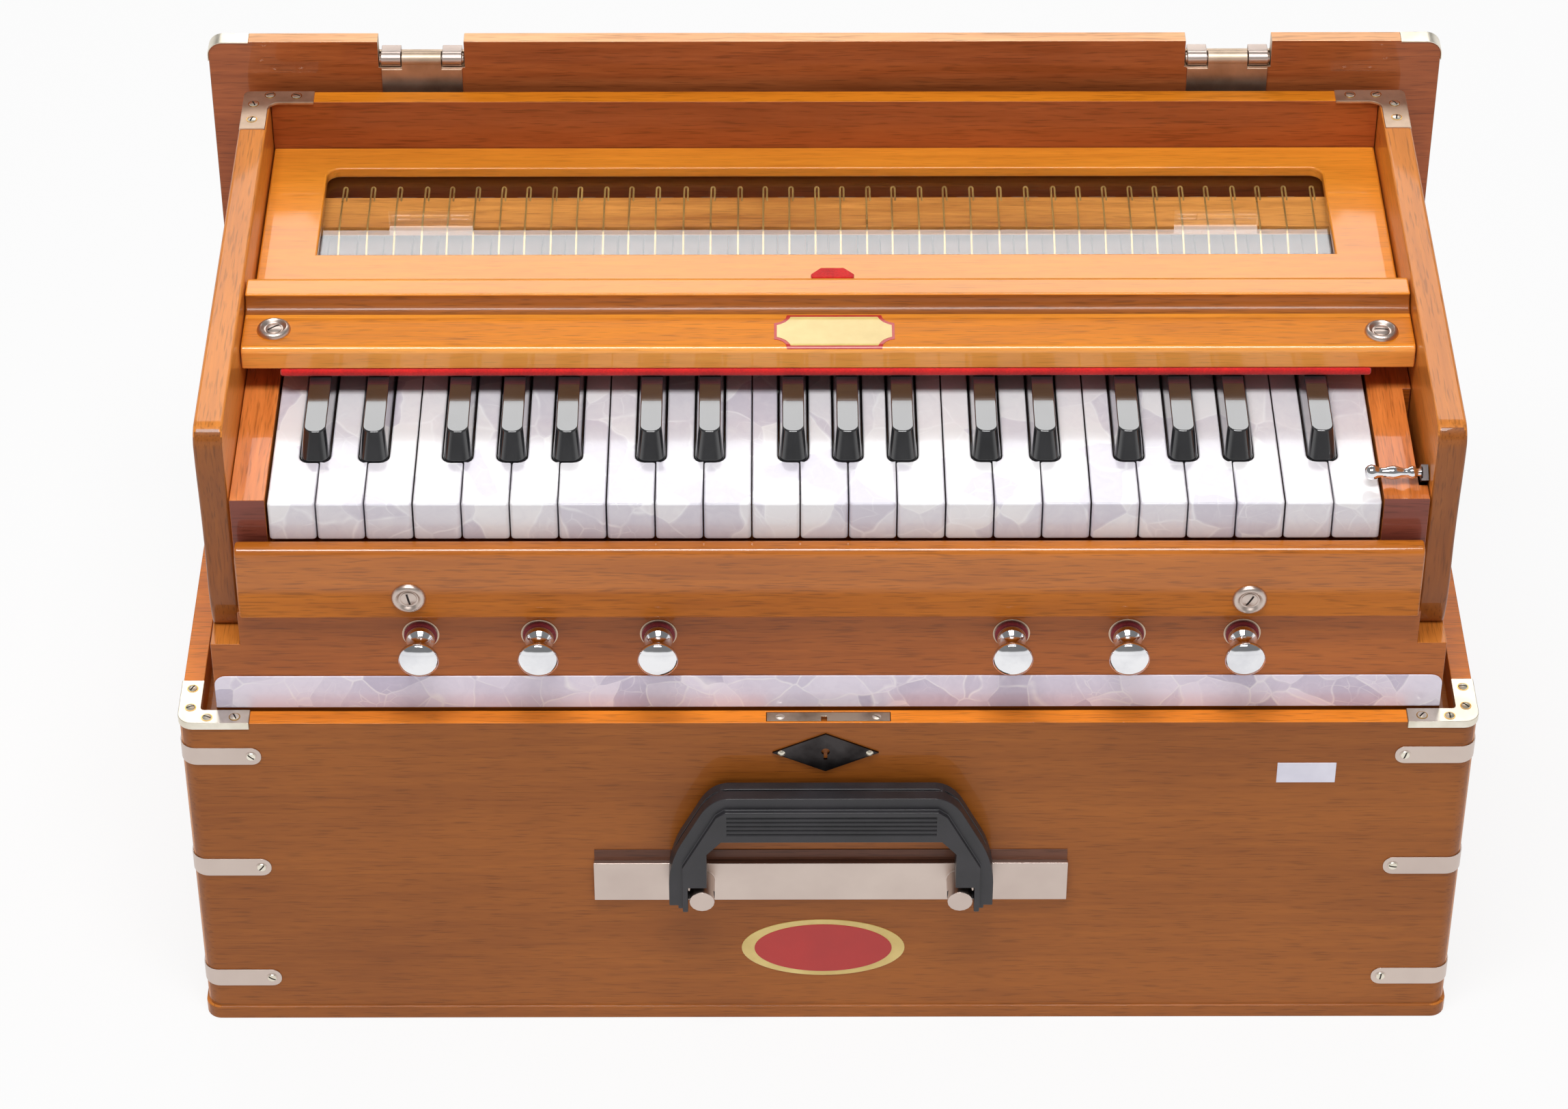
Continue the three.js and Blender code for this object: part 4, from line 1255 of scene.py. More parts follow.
@dataclass
class OuterCase:
    """The case with its nickel straps, corner brackets, lock and bare plates."""

    screws: Fasteners
    half_width_mm: float = 282.5
    rim_mm: float = 178.5
    wall_mm: float = 9.2
    corner_mm: float = 7.0
    strap_heights_mm: tuple[Pair, ...] = ((155.0, 164.6), (88.8, 98.8), (20.4, 30.3))
    strap_end_mm: float = 247.5
    strap_side_mm: float = 34.0
    strap_thickness_mm: float = 0.5
    strap_screw_mm: float = 4.4
    bracket: Bracket = Bracket(
        ((283, -0.6), (283, 28), (273.2, 28), (273.2, 8.4), (251.5, 8.4), (251.5, -0.6)),
        ((283, -0.6, 6.8, 6), (273.2, 8.4, 1.5, 3)),
        179.3, 3.8, 0.35, Finish.CREAM, 260,
    )
    bracket_seats_mm: tuple[Pair, ...] = ((277.9, 22.4), (277.7, 9.8), (270.0, 3.2), (258.0, 3.6))
    shade_band_mm: Box = ((-103.6, 106.6), (-0.4, 0.3), (90.0, 104.0))
    lock_half_mm: float = 26.8
    lock_depth_mm: Pair = (1.5, 7.1)
    lock_gap_mm: tuple[Pair, Pair] = ((-3.2, -0.6), (1.0, 4.6))
    lock_nails_mm: Pair = (-21.0, 21.0)
    shield_mm: Place = (-1.2, -0.9, 161.8)
    shield_half_mm: Pair = (23.2, 10.7)
    shield_nails_mm: Pair = (-20.4, 18.0)
    label_mm: Box = ((196.6, 222.3), (-0.3, 0.1), (143.6, 154.9))
    oval_mm: Place = (-1.6, 0.0, 43.6)
    oval_half_mm: Pair = (36.8, 17.3)

    def build(self) -> None:
        """Model and mount every piece of the case."""
        shell = polished(refined("outer_case", "case_shell", 0.45, pierced=True), Finish.CASE)
        side = (self.half_width_mm - self.wall_mm) * MM
        paint(shell, Finish.CASE_DEEP, lambda centre, n: abs(centre.x) > side and abs(n.y) < 0.6)
        # Painted light: the rim's top faces take the paler rim finish against the chest's shadow.
        rim = (self.rim_mm - 0.3) * MM
        paint(shell, Finish.RIM, lambda centre, n: n.z > 0.9 and centre.z > rim)
        mount(shell, "case", Slot.CASE, "outer_case")
        # Painted shade and reflection: a thin dark sheet above the handle plate stands for the band of shade
        # there.
        trim(blank("handle_plate_shade_band", *self.shade_band_mm), 0.15, Finish.BACKING, Slot.CASE)
        for side_name, sign in SIDES:
            for number, (low, high) in enumerate(self.strap_heights_mm, 1):
                self._strap(f"strap_{side_name}_{number}", sign, low, high)
            self.bracket.fit(f"rim_bracket_{side_name}", sign, self.bracket_seats_mm, self.screws)
        self._lock()
        self._escutcheon()
        self._front_marks()

    def _strap(self, name: str, sign: int, low: float, high: float) -> None:
        """A nickel strap round a front corner, with a screw at each end.

        Args:
            name: The strap's name.
            sign: 1 for the right corner, -1 for the left one.
            low: Height of its lower edge.
            high: Height of its upper edge.
        """
        thick, end, back = self.strap_thickness_mm, self.strap_end_mm, self.strap_side_mm
        outside = sign * (self.half_width_mm + thick)
        near, far = sorted((sign * end, outside))
        space = spot(near, -thick, low), spot(far, back, high)
        band = bent_band(name, *space, spot(outside, -thick, low), 2, self.corner_mm, thick)
        round_edges(band, 1, [spot(sign * end, 0, low), spot(sign * end, 0, high)], (high - low) * 0.46)
        round_edges(band, 0, [spot(0, back, low), spot(0, back, high)], (high - low) * 0.46)
        soften(band, 0.15)
        polished(band, Finish.SATIN)
        middle, inset = (low + high) / 2, self.strap_screw_mm
        sideways = Matrix.Rotation(sign * math.radians(90), 4, "Y")
        front_seat = spot(sign * (end + inset), -thick, middle)
        side_seat = spot(sign * self.half_width_mm, back - inset, middle)
        screws = [
            self.screws.drive(Screw.PLAIN, front_seat, TO_FRONT),
            self.screws.drive(Screw.PLAIN, side_seat, sideways),
        ]
        mount(joined(name, [band, *screws]), "case", Slot.CHROME)

    def _lock(self) -> None:
        """The lock's plate, let into the rim, with a gap for the lid's hook."""
        top = self.rim_mm - 0.15
        half = self.lock_half_mm
        plate = blank("lock_plate", (-half, half), self.lock_depth_mm, (top - 1.7, top))
        cut_away(plate, blank("gap", *self.lock_gap_mm, (top - 3, top + 1)))
        soften(plate, 0.15)
        polished(plate, Finish.DULL)
        seats = [spot(across, 4.3, top - 0.4) for across in self.lock_nails_mm]
        nails = [self.screws.drive(Screw.PLAIN, seat) for seat in seats]
        mount(joined("lock_plate", [plate, *nails]), "case", Slot.CHROME)

    def _escutcheon(self) -> None:
        """The dark diamond round the keyhole, with a pale nail at each end."""
        centre = spot(*self.shield_mm)
        half_width, half_height = self.shield_half_mm
        shield = placed(turned("escutcheon", [(-1.0, 1.0), (0.0, 1.0), (0.35, 0.88)], 4), TO_FRONT)
        placed(shield, Matrix.Translation(centre) @ Matrix.Diagonal((half_width, 1.0, half_height, 1.0)))
        barrel = turned("barrel", [(-3.0, 1.9), (3.0, 1.9)], 20)
        cut_away(shield, placed(barrel, Matrix.Translation(centre + Vector((0, 0, MM))) @ TO_FRONT))
        slit = block("slit", centre + Vector((-0.8, -3, -3.6)) * MM, centre + Vector((0.8, 3, 0.4)) * MM)
        cut_away(shield, slit)
        parts = [polished(shield, Finish.STEEL)]
        for across in self.shield_nails_mm:
            nail = turned("nail", [(-0.4, 1.7), (0.2, 1.7), (0.8, 1.1), (1.0, 0.4)], 16)
            seat = Matrix.Translation(spot(across, -1.0, self.shield_mm[2]))
            parts.append(placed(polished(nail, Finish.CREAM), seat @ TO_FRONT))
        mount(joined("escutcheon", parts), "case", Slot.CHROME)

    def _front_marks(self) -> None:
        """Bare plates on the front."""
        trim(blank("blank_label", *self.label_mm), 0.1, Finish.PAPER, Slot.CASE)
        wide, high = self.oval_half_mm
        rim = turned("front_oval", [(-0.4, wide), (0.25, wide), (0.4, wide - 0.6)], 64)
        centre = turned("front_oval_field", [(0.2, 31.0), (0.5, 31.0), (0.6, 30.6)], 64)
        rings = [finish_with(rim, Finish.CREAM_ENAMEL), finish_with(centre, Finish.RED_ENAMEL)]
        oval = placed(joined("front_oval", rings), Matrix.Diagonal((1.0, 1.0, high / wide, 1.0)) @ TO_FRONT)
        mount(placed(smooth(oval), Matrix.Translation(spot(*self.oval_mm))), "case", Slot.CASE)


@dataclass
class Chest:
    """The reed chest, its cheeks, key slip, back brackets and pearl strip."""

    screws: Fasteners
    wall_mm: float = 12.0
    strip_half_mm: float = 266.3
    strip_heights_mm: Pair = (179.4, 197.0)
    slip_screws_mm: tuple[Pair, ...] = ((-179.3, 244.7), (179.2, 243.3))
    bracket: Bracket = Bracket(
        ((266.3, 241.7), (266.3, 272.3), (234, 272.3), (234, 263), (254.6, 263), (254.6, 241.7)),
        ((254.6, 263, 5, 6), (266.3, 272.3, 3, 6)),
        325.7, 1.5, 0.4, Finish.LEAF,
    )
    bracket_seats_mm: tuple[tuple[Pair, ...], ...] = (
        ((254.3, 268.9), (242.1, 268.2), (261.2, 261.6), (261.0, 249.0)),
        ((252.8, 268.5), (240.9, 268.2), (260.6, 261.0), (260.4, 249.6)),
    )

    def build(self) -> None:
        """Model and mount every piece of the chest."""
        self._body()
        for side, _sign in SIDES:
            cheek = polished(refined(f"cheek_{side}", f"cheek_board_{side}", 1.5, 3), Finish.CASE_DEEP)
            paint(cheek, Finish.UPRIGHT, lambda _centre, n: n.y < -0.55)
            mount(cheek, "case", Slot.POLISHED, f"cheek_{side}")
        slip = polished(refined("key_slip", "key_slip_board", 1.2, 3), Finish.SLIP)
        mount(slip, "case", Slot.POLISHED, "key_slip")
        face = back_of(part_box("key_slip")[0][1])
        for (side, _sign), (across, height) in zip(SIDES, self.slip_screws_mm):
            screw = self.screws.drive(Screw.CUP, spot(across, face, height), TO_FRONT)
            screw.name = f"slip_screw_{side}"
            mount(screw, "case", Slot.CHROME)
        self._strip()
        for (side, sign), seats in zip(SIDES, self.bracket_seats_mm):
            self.bracket.fit(f"wall_bracket_{side}", sign, seats, self.screws)

    def _body(self) -> None:
        """The chest itself, with its key blocks and back wall in their own finishes."""
        chest = polished(refined("chest", "reed_chest", 0.4, pierced=True), Finish.PANEL)
        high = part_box("chest")[1]
        side, back = high[0] - self.wall_mm * MM, high[1] - self.wall_mm * MM
        paint(chest, Finish.CASE_DEEP, lambda centre, n: abs(centre.x) > side and abs(n.y) < 0.6)
        paint(chest, Finish.CASE, lambda centre, _n: centre.y > back)
        # Painted light: the back wall's top takes the paler shelf finish, lighter than the wall's case
        # finish.
        paint(chest, Finish.SHELF, lambda centre, n: centre.y > back and n.z > 0.9)
        paint(chest, Finish.WALL, lambda centre, n: back - 2 * MM < centre.y < high[1] - MM and n.y < -0.6)
        block_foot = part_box("key_01")[0][2] - 1 * MM
        first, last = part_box("key_01")[0][0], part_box("key_39")[1][0]
        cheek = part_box("cheek_right")[0][0]

        def of_block(centre: Vector, _normal: Vector) -> bool:
            """Tell whether a face belongs to a key block."""
            beside = not first < centre.x < last and abs(centre.x) < cheek
            return beside and centre.z > block_foot and centre.y < back - 5 * MM

        paint(chest, Finish.BLOCK, of_block)
        paint(chest, Finish.BLOCK_END, lambda centre, n: of_block(centre, n) and n.y < -0.6)
        mount(chest, "case", Slot.CASE, "chest")

    def _strip(self) -> None:
        """The pearl strip along the chest's front."""
        face = back_of(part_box("chest")[0][1])
        half, top = self.strip_half_mm, self.strip_heights_mm[1]
        strip = blank("pearl_strip", (-half, half), (face - 0.9, face - 0.1), self.strip_heights_mm)
        round_edges(strip, 1, [spot(-half, 0, top), spot(half, 0, top)], 5)
        trim(strip, 0.3, Finish.STRIP, Slot.WHITE_KEY)


@dataclass
class Keyboard:
    """Twenty-three pearl keys and sixteen black ones."""

    count: int = 39
    white_steps: tuple[int, ...] = (0, 2, 4, 5, 7, 9, 11)
    tail_mm: float = 118.0
    notch_mm: Pair = (45.0, 47.5)
    white_corner_mm: float = 1.7
    black_top_mm: float = 9.4
    black_slope_mm: float = 6.2
    black_rise_mm: float = 11.0
    nose_mm: float = 3.9

    def build(self) -> None:
        """Model and mount every key."""
        for number in range(self.count):
            node = f"key_{number + 1:02d}"
            if number % 12 in self.white_steps:
                self._white(node)
            else:
                self._black(node)

    def _tail(self, centre: Vector, _normal: Vector) -> bool:
        """Tell whether a face belongs to a key's wooden tail."""
        return centre.y > deep(self.tail_mm - 0.5)

    def _white(self, node: str) -> None:
        """A pearl key with its wooden tail.

        Args:
            node: The key's CAD node.
        """
        low, high = (Vector(corner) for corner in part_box(node))
        key = refined(node, f"{node}_pearl")
        round_edges(key, 2, [low, Vector((high.x, low.y, 0))], self.white_corner_mm, 3)
        inset = 0.8 * MM
        near, far = (deep(back) for back in self.notch_mm)
        corners = [
            vertex.co.copy()
            for vertex in key.data.vertices
            if near < vertex.co.y < far and low.x + inset < vertex.co.x < high.x - inset
        ]
        round_edges(key, 2, corners, self.nose_mm + 0.4, 4)
        soften(key, 0.8, 3)
        paint(polished(key, Finish.WHITE_KEY), Finish.BARE, self._tail)
        mount(key, f"{node}_body", Slot.WHITE_KEY, node)

    def _black(self, node: str) -> None:
        """A black key: a wooden stick with a tapered, round-nosed head on it.

        Args:
            node: The key's CAD node.
        """
        low, high = (Vector(corner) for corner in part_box(node))
        foot, back = high.z - (self.black_rise_mm + 0.5) * MM, deep(self.tail_mm)
        name = f"{node}_black"
        stick = refined(node, name)
        sliced(stick, Vector((0, 0, foot)), (0, 0, 1))
        round_edges(stick, 2, [low, Vector((high.x, low.y, 0))], self.nose_mm, 4)
        paint(polished(stick, Finish.BLACK_KEY), Finish.BARE, self._tail)
        head = block("head", (low.x, low.y, foot), (high.x, back, high.z))
        pick(head, "FACE", lambda face: face.normal.z > 0.9)
        narrow = self.black_top_mm * MM / (high.x - low.x)
        short = 1 - self.black_slope_mm * MM / (back - low.y)
        middle = ((low.x + high.x) / 2, back, high.z)
        bpy.ops.transform.resize(value=(narrow, short, 1), center_override=middle)
        leave()
        self._round_nose(head, low.y + (self.black_slope_mm + 1) * MM)
        soften(head, 0.55, 3)
        mount(joined(name, [stick, polished(head, Finish.BLACK_KEY)]), f"{node}_body", Slot.BLACK_KEY, node)

    def _round_nose(self, head: Piece, reach: float) -> None:
        """Round the two slanted front corners of a black key's head.

        Args:
            head: The head.
            reach: How far back the corners' ends may lie.
        """

        def slanted(edge: bpy.types.MeshEdge) -> bool:
            """Tell whether an edge is one of the two corners."""
            first, second = ends_of(head, edge)
            return max(first.y, second.y) < reach and abs(first.z - second.z) > MM

        pick(head, "EDGE", slanted)
        bevel_picked(self.nose_mm, 7)


@dataclass
class NameRail:
    """The moulded rail behind the keys, its felt, screws and bare plate."""

    screws: Fasteners
    shelf_end_and_heights_mm: Place = (113.0, 311.5, 313.5)
    cove_depth_and_top_mm: Place = (112.8, 121.6, 319.6)
    nose_mm: float = 93.5
    felt_mm: Box = ((-237.0, 235.0), (90.4, 112.0), (298.5, 301.9))
    screws_mm: tuple[Pair, ...] = ((-240.1, 105.2), (239.6, 102.7))
    screw_height_mm: float = 313.0
    plate_middle_mm: float = 2.7
    plate_half_mm: float = 26.5
    plate_depth_mm: Pair = (91.75, 115.4)
    plate_scoop_mm: float = 6.0
    plate_turns: tuple[float, ...] = (4, 25, 45, 65, 86)

    def build(self) -> None:
        """Model and mount every piece of the rail."""
        rail = polished(refined("name_rail", "name_rail_moulding", 0.8, 3), Finish.RAIL)
        self._paint_mouldings(rail)
        mount(rail, "case", Slot.POLISHED, "name_rail")
        trim(blank("rail_felt", *self.felt_mm), 1.2, Finish.FELT, Slot.CLOTH, segments=3)
        for (side, _sign), (across, back) in zip(SIDES, self.screws_mm):
            screw = self.screws.drive(Screw.CUP, spot(across, back, self.screw_height_mm))
            screw.name = f"rail_screw_{side}"
            mount(screw, "case", Slot.CHROME)
        rim = self._on_rail("rail_plate", 0.0, 0.25, Finish.RED_ENAMEL)
        centre = self._on_rail("rail_plate_field", 1.6, 0.4, Finish.CREAM_ENAMEL)
        mount(joined("rail_plate", [rim, centre]), "case", Slot.CHROME)

    def _paint_mouldings(self, rail: Piece) -> None:
        """Give the rail's shelf its own finish, and paint shade into its cove and a highlight onto its nose.

        Args:
            rail: The rail.
        """
        end, low, high = self.shelf_end_and_heights_mm

        def of_shelf(centre: Vector, normal: Vector) -> bool:
            """Tell whether a face belongs to the flat shelf."""
            return normal.z > 0.95 and low * MM < centre.z < high * MM and centre.y < deep(end)

        near, far, top = self.cove_depth_and_top_mm

        def of_shaded_cove(centre: Vector, normal: Vector) -> bool:
            """Tell whether a face belongs to the hollow behind the shelf, which is painted darker as shade.
            """
            return normal.y < -0.2 and deep(near) < centre.y < deep(far) and centre.z < top * MM

        paint(rail, Finish.SHELF, of_shelf)
        # Painted shade in the cove under the bead.
        paint(rail, Finish.COVE, of_shaded_cove)
        # Painted highlight: the nose's front faces take a paler tone.
        paint(rail, Finish.NOSE, lambda centre, n: n.y < -0.5 and centre.y < deep(self.nose_mm))

    def _on_rail(self, name: str, inset: float, rise_mm: float, finish: Finish) -> Piece:
        """A thin sheet with scooped corners that follows the rail's surface.

        Args:
            name: The sheet's name.
            inset: How far its outline lies inside the plate's.
            rise_mm: How far it stands over the rail.
            finish: Its finish.

        Returns:
            The sheet.
        """
        sheet = refined("name_rail", name)
        modify(sheet, "DISPLACE", strength=rise_mm * MM, mid_level=0.0)
        middle, edge = self.plate_middle_mm, self.plate_middle_mm + self.plate_half_mm
        front, back = self.plate_depth_mm
        scoop = self.plate_scoop_mm + inset
        right = []
        for turn in map(math.radians, self.plate_turns):
            across = min(edge - scoop * math.cos(turn), edge - inset)
            right.append((across, front + max(scoop * math.sin(turn), inset)))
        right += [(across, front + back - depth) for across, depth in reversed(right)]
        cut_away(sheet, sawn("outline", mirrored(right, middle), 306.5, 330, flat=True), "INTERSECT")
        return polished(sheet, finish)


@dataclass
class GlazedCover:
    """The hinged frame with its pane, and the spring rail below it."""

    stile_mm: float = 228.3
    tab_mm: tuple[Pair, ...] = ((11.9, 159.8), (12.3, 162.4), (7.8, 167.3))
    tab_middle_mm: float = 2.6
    bar_depth_mm: Pair = (214.7, 238.2)
    bar_heights_mm: Pair = (283.45, 288.65)
    wire_mm: float = 0.42
    loop_half_mm: float = 0.85
    arm_half_mm: float = 1.7

    def build(self) -> None:
        """Model and mount the frame, the pane, the tab and the springs."""
        cover = polished(refined("window_frame", "cover_frame", 0.9, 3), Finish.RAIL)
        paint(cover, Finish.RAIL_DEEP, lambda centre, _n: abs(centre.x) > self.stile_mm * MM)
        mount(cover, "window", Slot.POLISHED, "window_frame")
        pane = polished(refined("window_glass", "cover_pane", 0.2), Finish.GLASS)
        mount(pane, "window", Slot.GLASS, "window_glass")
        tab = sawn("cover_tab", mirrored(self.tab_mm, self.tab_middle_mm), 299.9, 301.2, flat=True)
        trim(tab, 0.5, Finish.FELT, Slot.CLOTH, "window", 3)
        self._springs()

    def _route(self) -> list[Vector]:
        """Lead one spring over the bar, round its loop and forward to its key.

        Returns:
            The places along its middle line.
        """
        low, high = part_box("spring_rail")
        front, back = self.bar_depth_mm
        half, top = self.loop_half_mm, self.bar_heights_mm[1]
        line = top + self.wire_mm
        loop_back = back_of(high[1]) - half - self.wire_mm
        route = [spot(half, back - 4, top - 1), spot(half, back - 2.5, line)]
        for step in range(9):
            out, along = math.cos(math.pi * step / 8), math.sin(math.pi * step / 8)
            route.append(spot(half * out, loop_back + half * along, line + 0.5 * along))
        route += [spot(-half, back - 3, line), spot(-half, front, line), spot(-half, front - 3, line - 1.2)]
        return [*route, spot(-half, back_of(low[1]) + 0.5, low[2] / MM + 0.65)]

    def _springs(self) -> None:
        """The spring rail: a golden bar with one wire spring for each key."""
        low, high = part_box("spring_rail")
        bar = blank("spring_bar", (low[0] / MM, high[0] / MM), self.bar_depth_mm, self.bar_heights_mm)
        soften(bar, 0.8)
        polished(bar, Finish.GOLDEN)
        master = polished(wire("spring_master", self._route(), self.wire_mm), Finish.DARK_BRASS, 60)
        # Painted highlight: the wire's arms in front of the bar take a paler paint than its loops.
        over_bar = deep(self.bar_depth_mm[0] - 2)
        paint(master, Finish.GILT, lambda centre, _n: centre.y < over_bar)
        parts = [copied(master, "spring", Matrix.Translation((across, 0, 0))) for across in self._arms()]
        bpy.data.objects.remove(master)
        mount(joined("spring_bar", [bar, *parts]), "case", Slot.RAIL, "spring_rail")

    def _arms(self) -> list[float]:
        """Where the springs stand, from the ends of the CAD rail's arms.

        Returns:
            Their places across, in metres.
        """
        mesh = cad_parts["spring_rail"].data
        reach = min(vertex.co.y for vertex in mesh.vertices) + 1 * MM
        arms: list[list[float]] = []
        for end in sorted(vertex.co.x for vertex in mesh.vertices if vertex.co.y < reach):
            if arms and end - arms[-1][-1] < 3 * MM:
                arms[-1].append(end)
            else:
                arms.append([end])
        return [(min(arm) + max(arm)) / 2 + self.arm_half_mm * MM for arm in arms]


@dataclass
class StopKnobs:
    """Six turned stop knobs with their washers."""

    count: int = 6
    cap_mm: float = 8.9
    half_depth_mm: float = 4.2
    cap_angles: tuple[float, ...] = (-84, -70, -54, -38, -22, -8, 8, 24, 42, 58)
    neck_mm: tuple[Pair, ...] = ((8.6, 4.1), (10.4, 3.9), (12.6, 4.1), (14.4, 4.8), (15.8, 5.9), (16.6, 6.3))
    collar_mm: tuple[Pair, ...] = ((18.6, 6.3), (19.1, 5.9), (19.2, 2.9))
    felt_mm: tuple[Pair, ...] = ((-0.2, 7.3), (1.5, 7.2), (2.0, 6.6), (2.1, 4.0))
    ring_mm: tuple[Pair, ...] = ((-0.2, 8.0), (0.3, 8.0), (0.5, 7.6))

    def build(self) -> None:
        """Model one knob and its washer, and copy them six times."""
        low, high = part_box("stop_knob_1")
        height = (low[2] + high[2]) / 2
        rod = ((high[1] - low[1]) / MM, self.collar_mm[-1][1])
        half, radius = self.half_depth_mm, self.cap_mm
        turns = [math.radians(angle) for angle in self.cap_angles]
        cap = [(half * (1 + math.sin(turn)), radius * math.cos(turn)) for turn in turns]
        profile = [*cap, *self.neck_mm, *self.collar_mm, rod]
        knob = polished(turned("knob_master", profile, 40), Finish.CHROME, 50)
        felt = polished(turned("washer_master", self.felt_mm), Finish.DARK_FELT)
        washer = joined("washer_master", [felt, polished(turned("ring", self.ring_mm), Finish.LEAF)])
        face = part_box("chest")[0][1]
        for number in range(1, self.count + 1):
            node = f"stop_knob_{number}"
            low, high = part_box(node)
            across = (low[0] + high[0]) / 2
            place = Matrix.Translation((across, low[1], height))
            mount(copied(knob, f"stop_{number}", place @ TO_BACK), f"{node}_body", Slot.CHROME, node)
            seat = Matrix.Translation((across, face, height))
            mount(copied(washer, f"stop_washer_{number}", seat @ TO_FRONT), "case", Slot.CLOTH)
        bpy.data.objects.remove(knob)
        bpy.data.objects.remove(washer)


@dataclass
class CouplerLever:
    """The turned lever at the right end of the keys."""

    handle_mm: float = 24.5
    stem_half_mm: float = 3.5
    profile_mm: tuple[Pair, ...] = (
        (0.0, 0.9), (0.4, 2.0), (1.4, 3.0), (2.8, 3.45), (4.2, 3.2), (5.4, 2.5), (6.8, 2.05),
        (8.4, 2.1), (10.2, 2.7), (12.0, 3.0), (13.8, 2.7), (15.6, 2.0), (17.2, 1.75), (18.2, 1.9),
        (19.0, 2.6), (20.2, 2.9), (21.4, 2.5), (22.0, 1.8), (23.0, 1.7), (24.5, 1.7),
    )

    def build(self) -> None:
        """Turn the handle anew and fit it to the lever's stem."""
        low, high = (Vector(corner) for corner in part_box("coupler_lever"))
        stem = refined("coupler_lever", "coupler_handle")
        sliced(stem, Vector((low.x + (self.handle_mm - 0.6) * MM, 0, 0)), (-1, 0, 0))
        polished(stem, Finish.STEEL)
        handle = polished(turned("handle", self.profile_mm, 28), Finish.CHROME, 60)
        half = self.stem_half_mm * MM
        centre = Vector((low.x, low.y + half, high.z - half))
        placed(handle, Matrix.Translation(centre) @ Matrix.Rotation(math.radians(90), 4, "Y"))
        mount(joined("coupler_handle", [stem, handle]), "lever", Slot.CHROME, "coupler_lever")


@dataclass
class CarryingHandle:
    """The folding grip and the plate that carries it."""

    middle_mm: float = 1.5
    reach_mm: float = 90.0
    heights_mm: Pair = (74.0, 152.0)
    shoulder_back_mm: float = -14.6
    core_mm: tuple[Pair, ...] = ((65.8, 70), (65.8, 107.6), (50.7, 137.7), (46.8, 140.8))
    line_depth_mm: Pair = (-9.0, -8.2)
    line_mm: tuple[Pair, ...] = ((71.1, 70), (71.1, 108.8), (55.0, 141.0), (48.8, 146.3))
    tops_mm: tuple[Pair, ...] = ((55.5, 141.5), (49.0, 147.0))
    hips_mm: tuple[Pair, ...] = ((71.8, 109.0),)
    foot_mm: Box = ((67.8, 80.0), (-20.0, 2.0), (70.0, 83.4))
    rib_half_mm: float = 46.0
    rib_depth_mm: Pair = (-18.0, -16.4)
    rib_height_mm: float = 0.9
    rib_foot_mm: float = 127.6
    rib_step_mm: float = 2.4
    ribs: int = 5

    def build(self) -> None:
        """Refine and mount plate and grip."""
        plate = polished(refined("handle_plate", "handle_mounting", 0.3, pierced=True), Finish.SATIN)
        mount(plate, "case", Slot.CHROME, "handle_plate")
        grip = refined("handle_grip", "grip_bow")
        for places, radius, segments in ((self.tops_mm, 3.9, 4), (self.hips_mm, 12, 5)):
            spots = [
                spot(self.middle_mm + side * across, 0, up)
                for across, up in places
                for _name, side in SIDES
            ]
            round_edges(grip, 1, spots, radius, segments)
        self._cut_round(grip, (-20, self.shoulder_back_mm), self.core_mm)
        self._cut_round(grip, self.line_depth_mm, self.line_mm)
        for number in range(self.ribs):
            foot = self.rib_foot_mm + self.rib_step_mm * number
            heights = (foot, foot + self.rib_height_mm)
            self._cut(grip, (-self.rib_half_mm, self.rib_half_mm), self.rib_depth_mm, heights)
        (near, far), back, up = self.foot_mm
        for _name, side in SIDES:
            self._cut(grip, (side * near, side * far), back, up)
        soften(grip, 0.45, 2, 30)
        mount(polished(grip, Finish.GRIP), "handle", Slot.GRIP, "handle_grip")

    def _cut(self, grip: Piece, across: Pair, back: Pair, up: Pair) -> None:
        """Cut a box out of the grip, given from the grip's middle."""
        left, right = across
        cut_away(grip, blank("cutter", (self.middle_mm + left, self.middle_mm + right), back, up))

    def _cut_round(self, grip: Piece, back: Pair, right: Sequence[Pair]) -> None:
        """Cut away what lies outside an outline, over a part of the grip's depth.

        Args:
            grip: The grip.
            back: Where the cut starts and ends.
            right: The outline's right half, from its foot up, given from the grip's middle.
        """
        middle, reach = self.middle_mm, self.reach_mm
        slab = blank("slab", (middle - reach, middle + reach), back, self.heights_mm)
        outline = mirrored([(across + middle, up) for across, up in right], middle)
        cut_away(slab, sawn("kept", outline, -24, 4))
        cut_away(grip, slab)


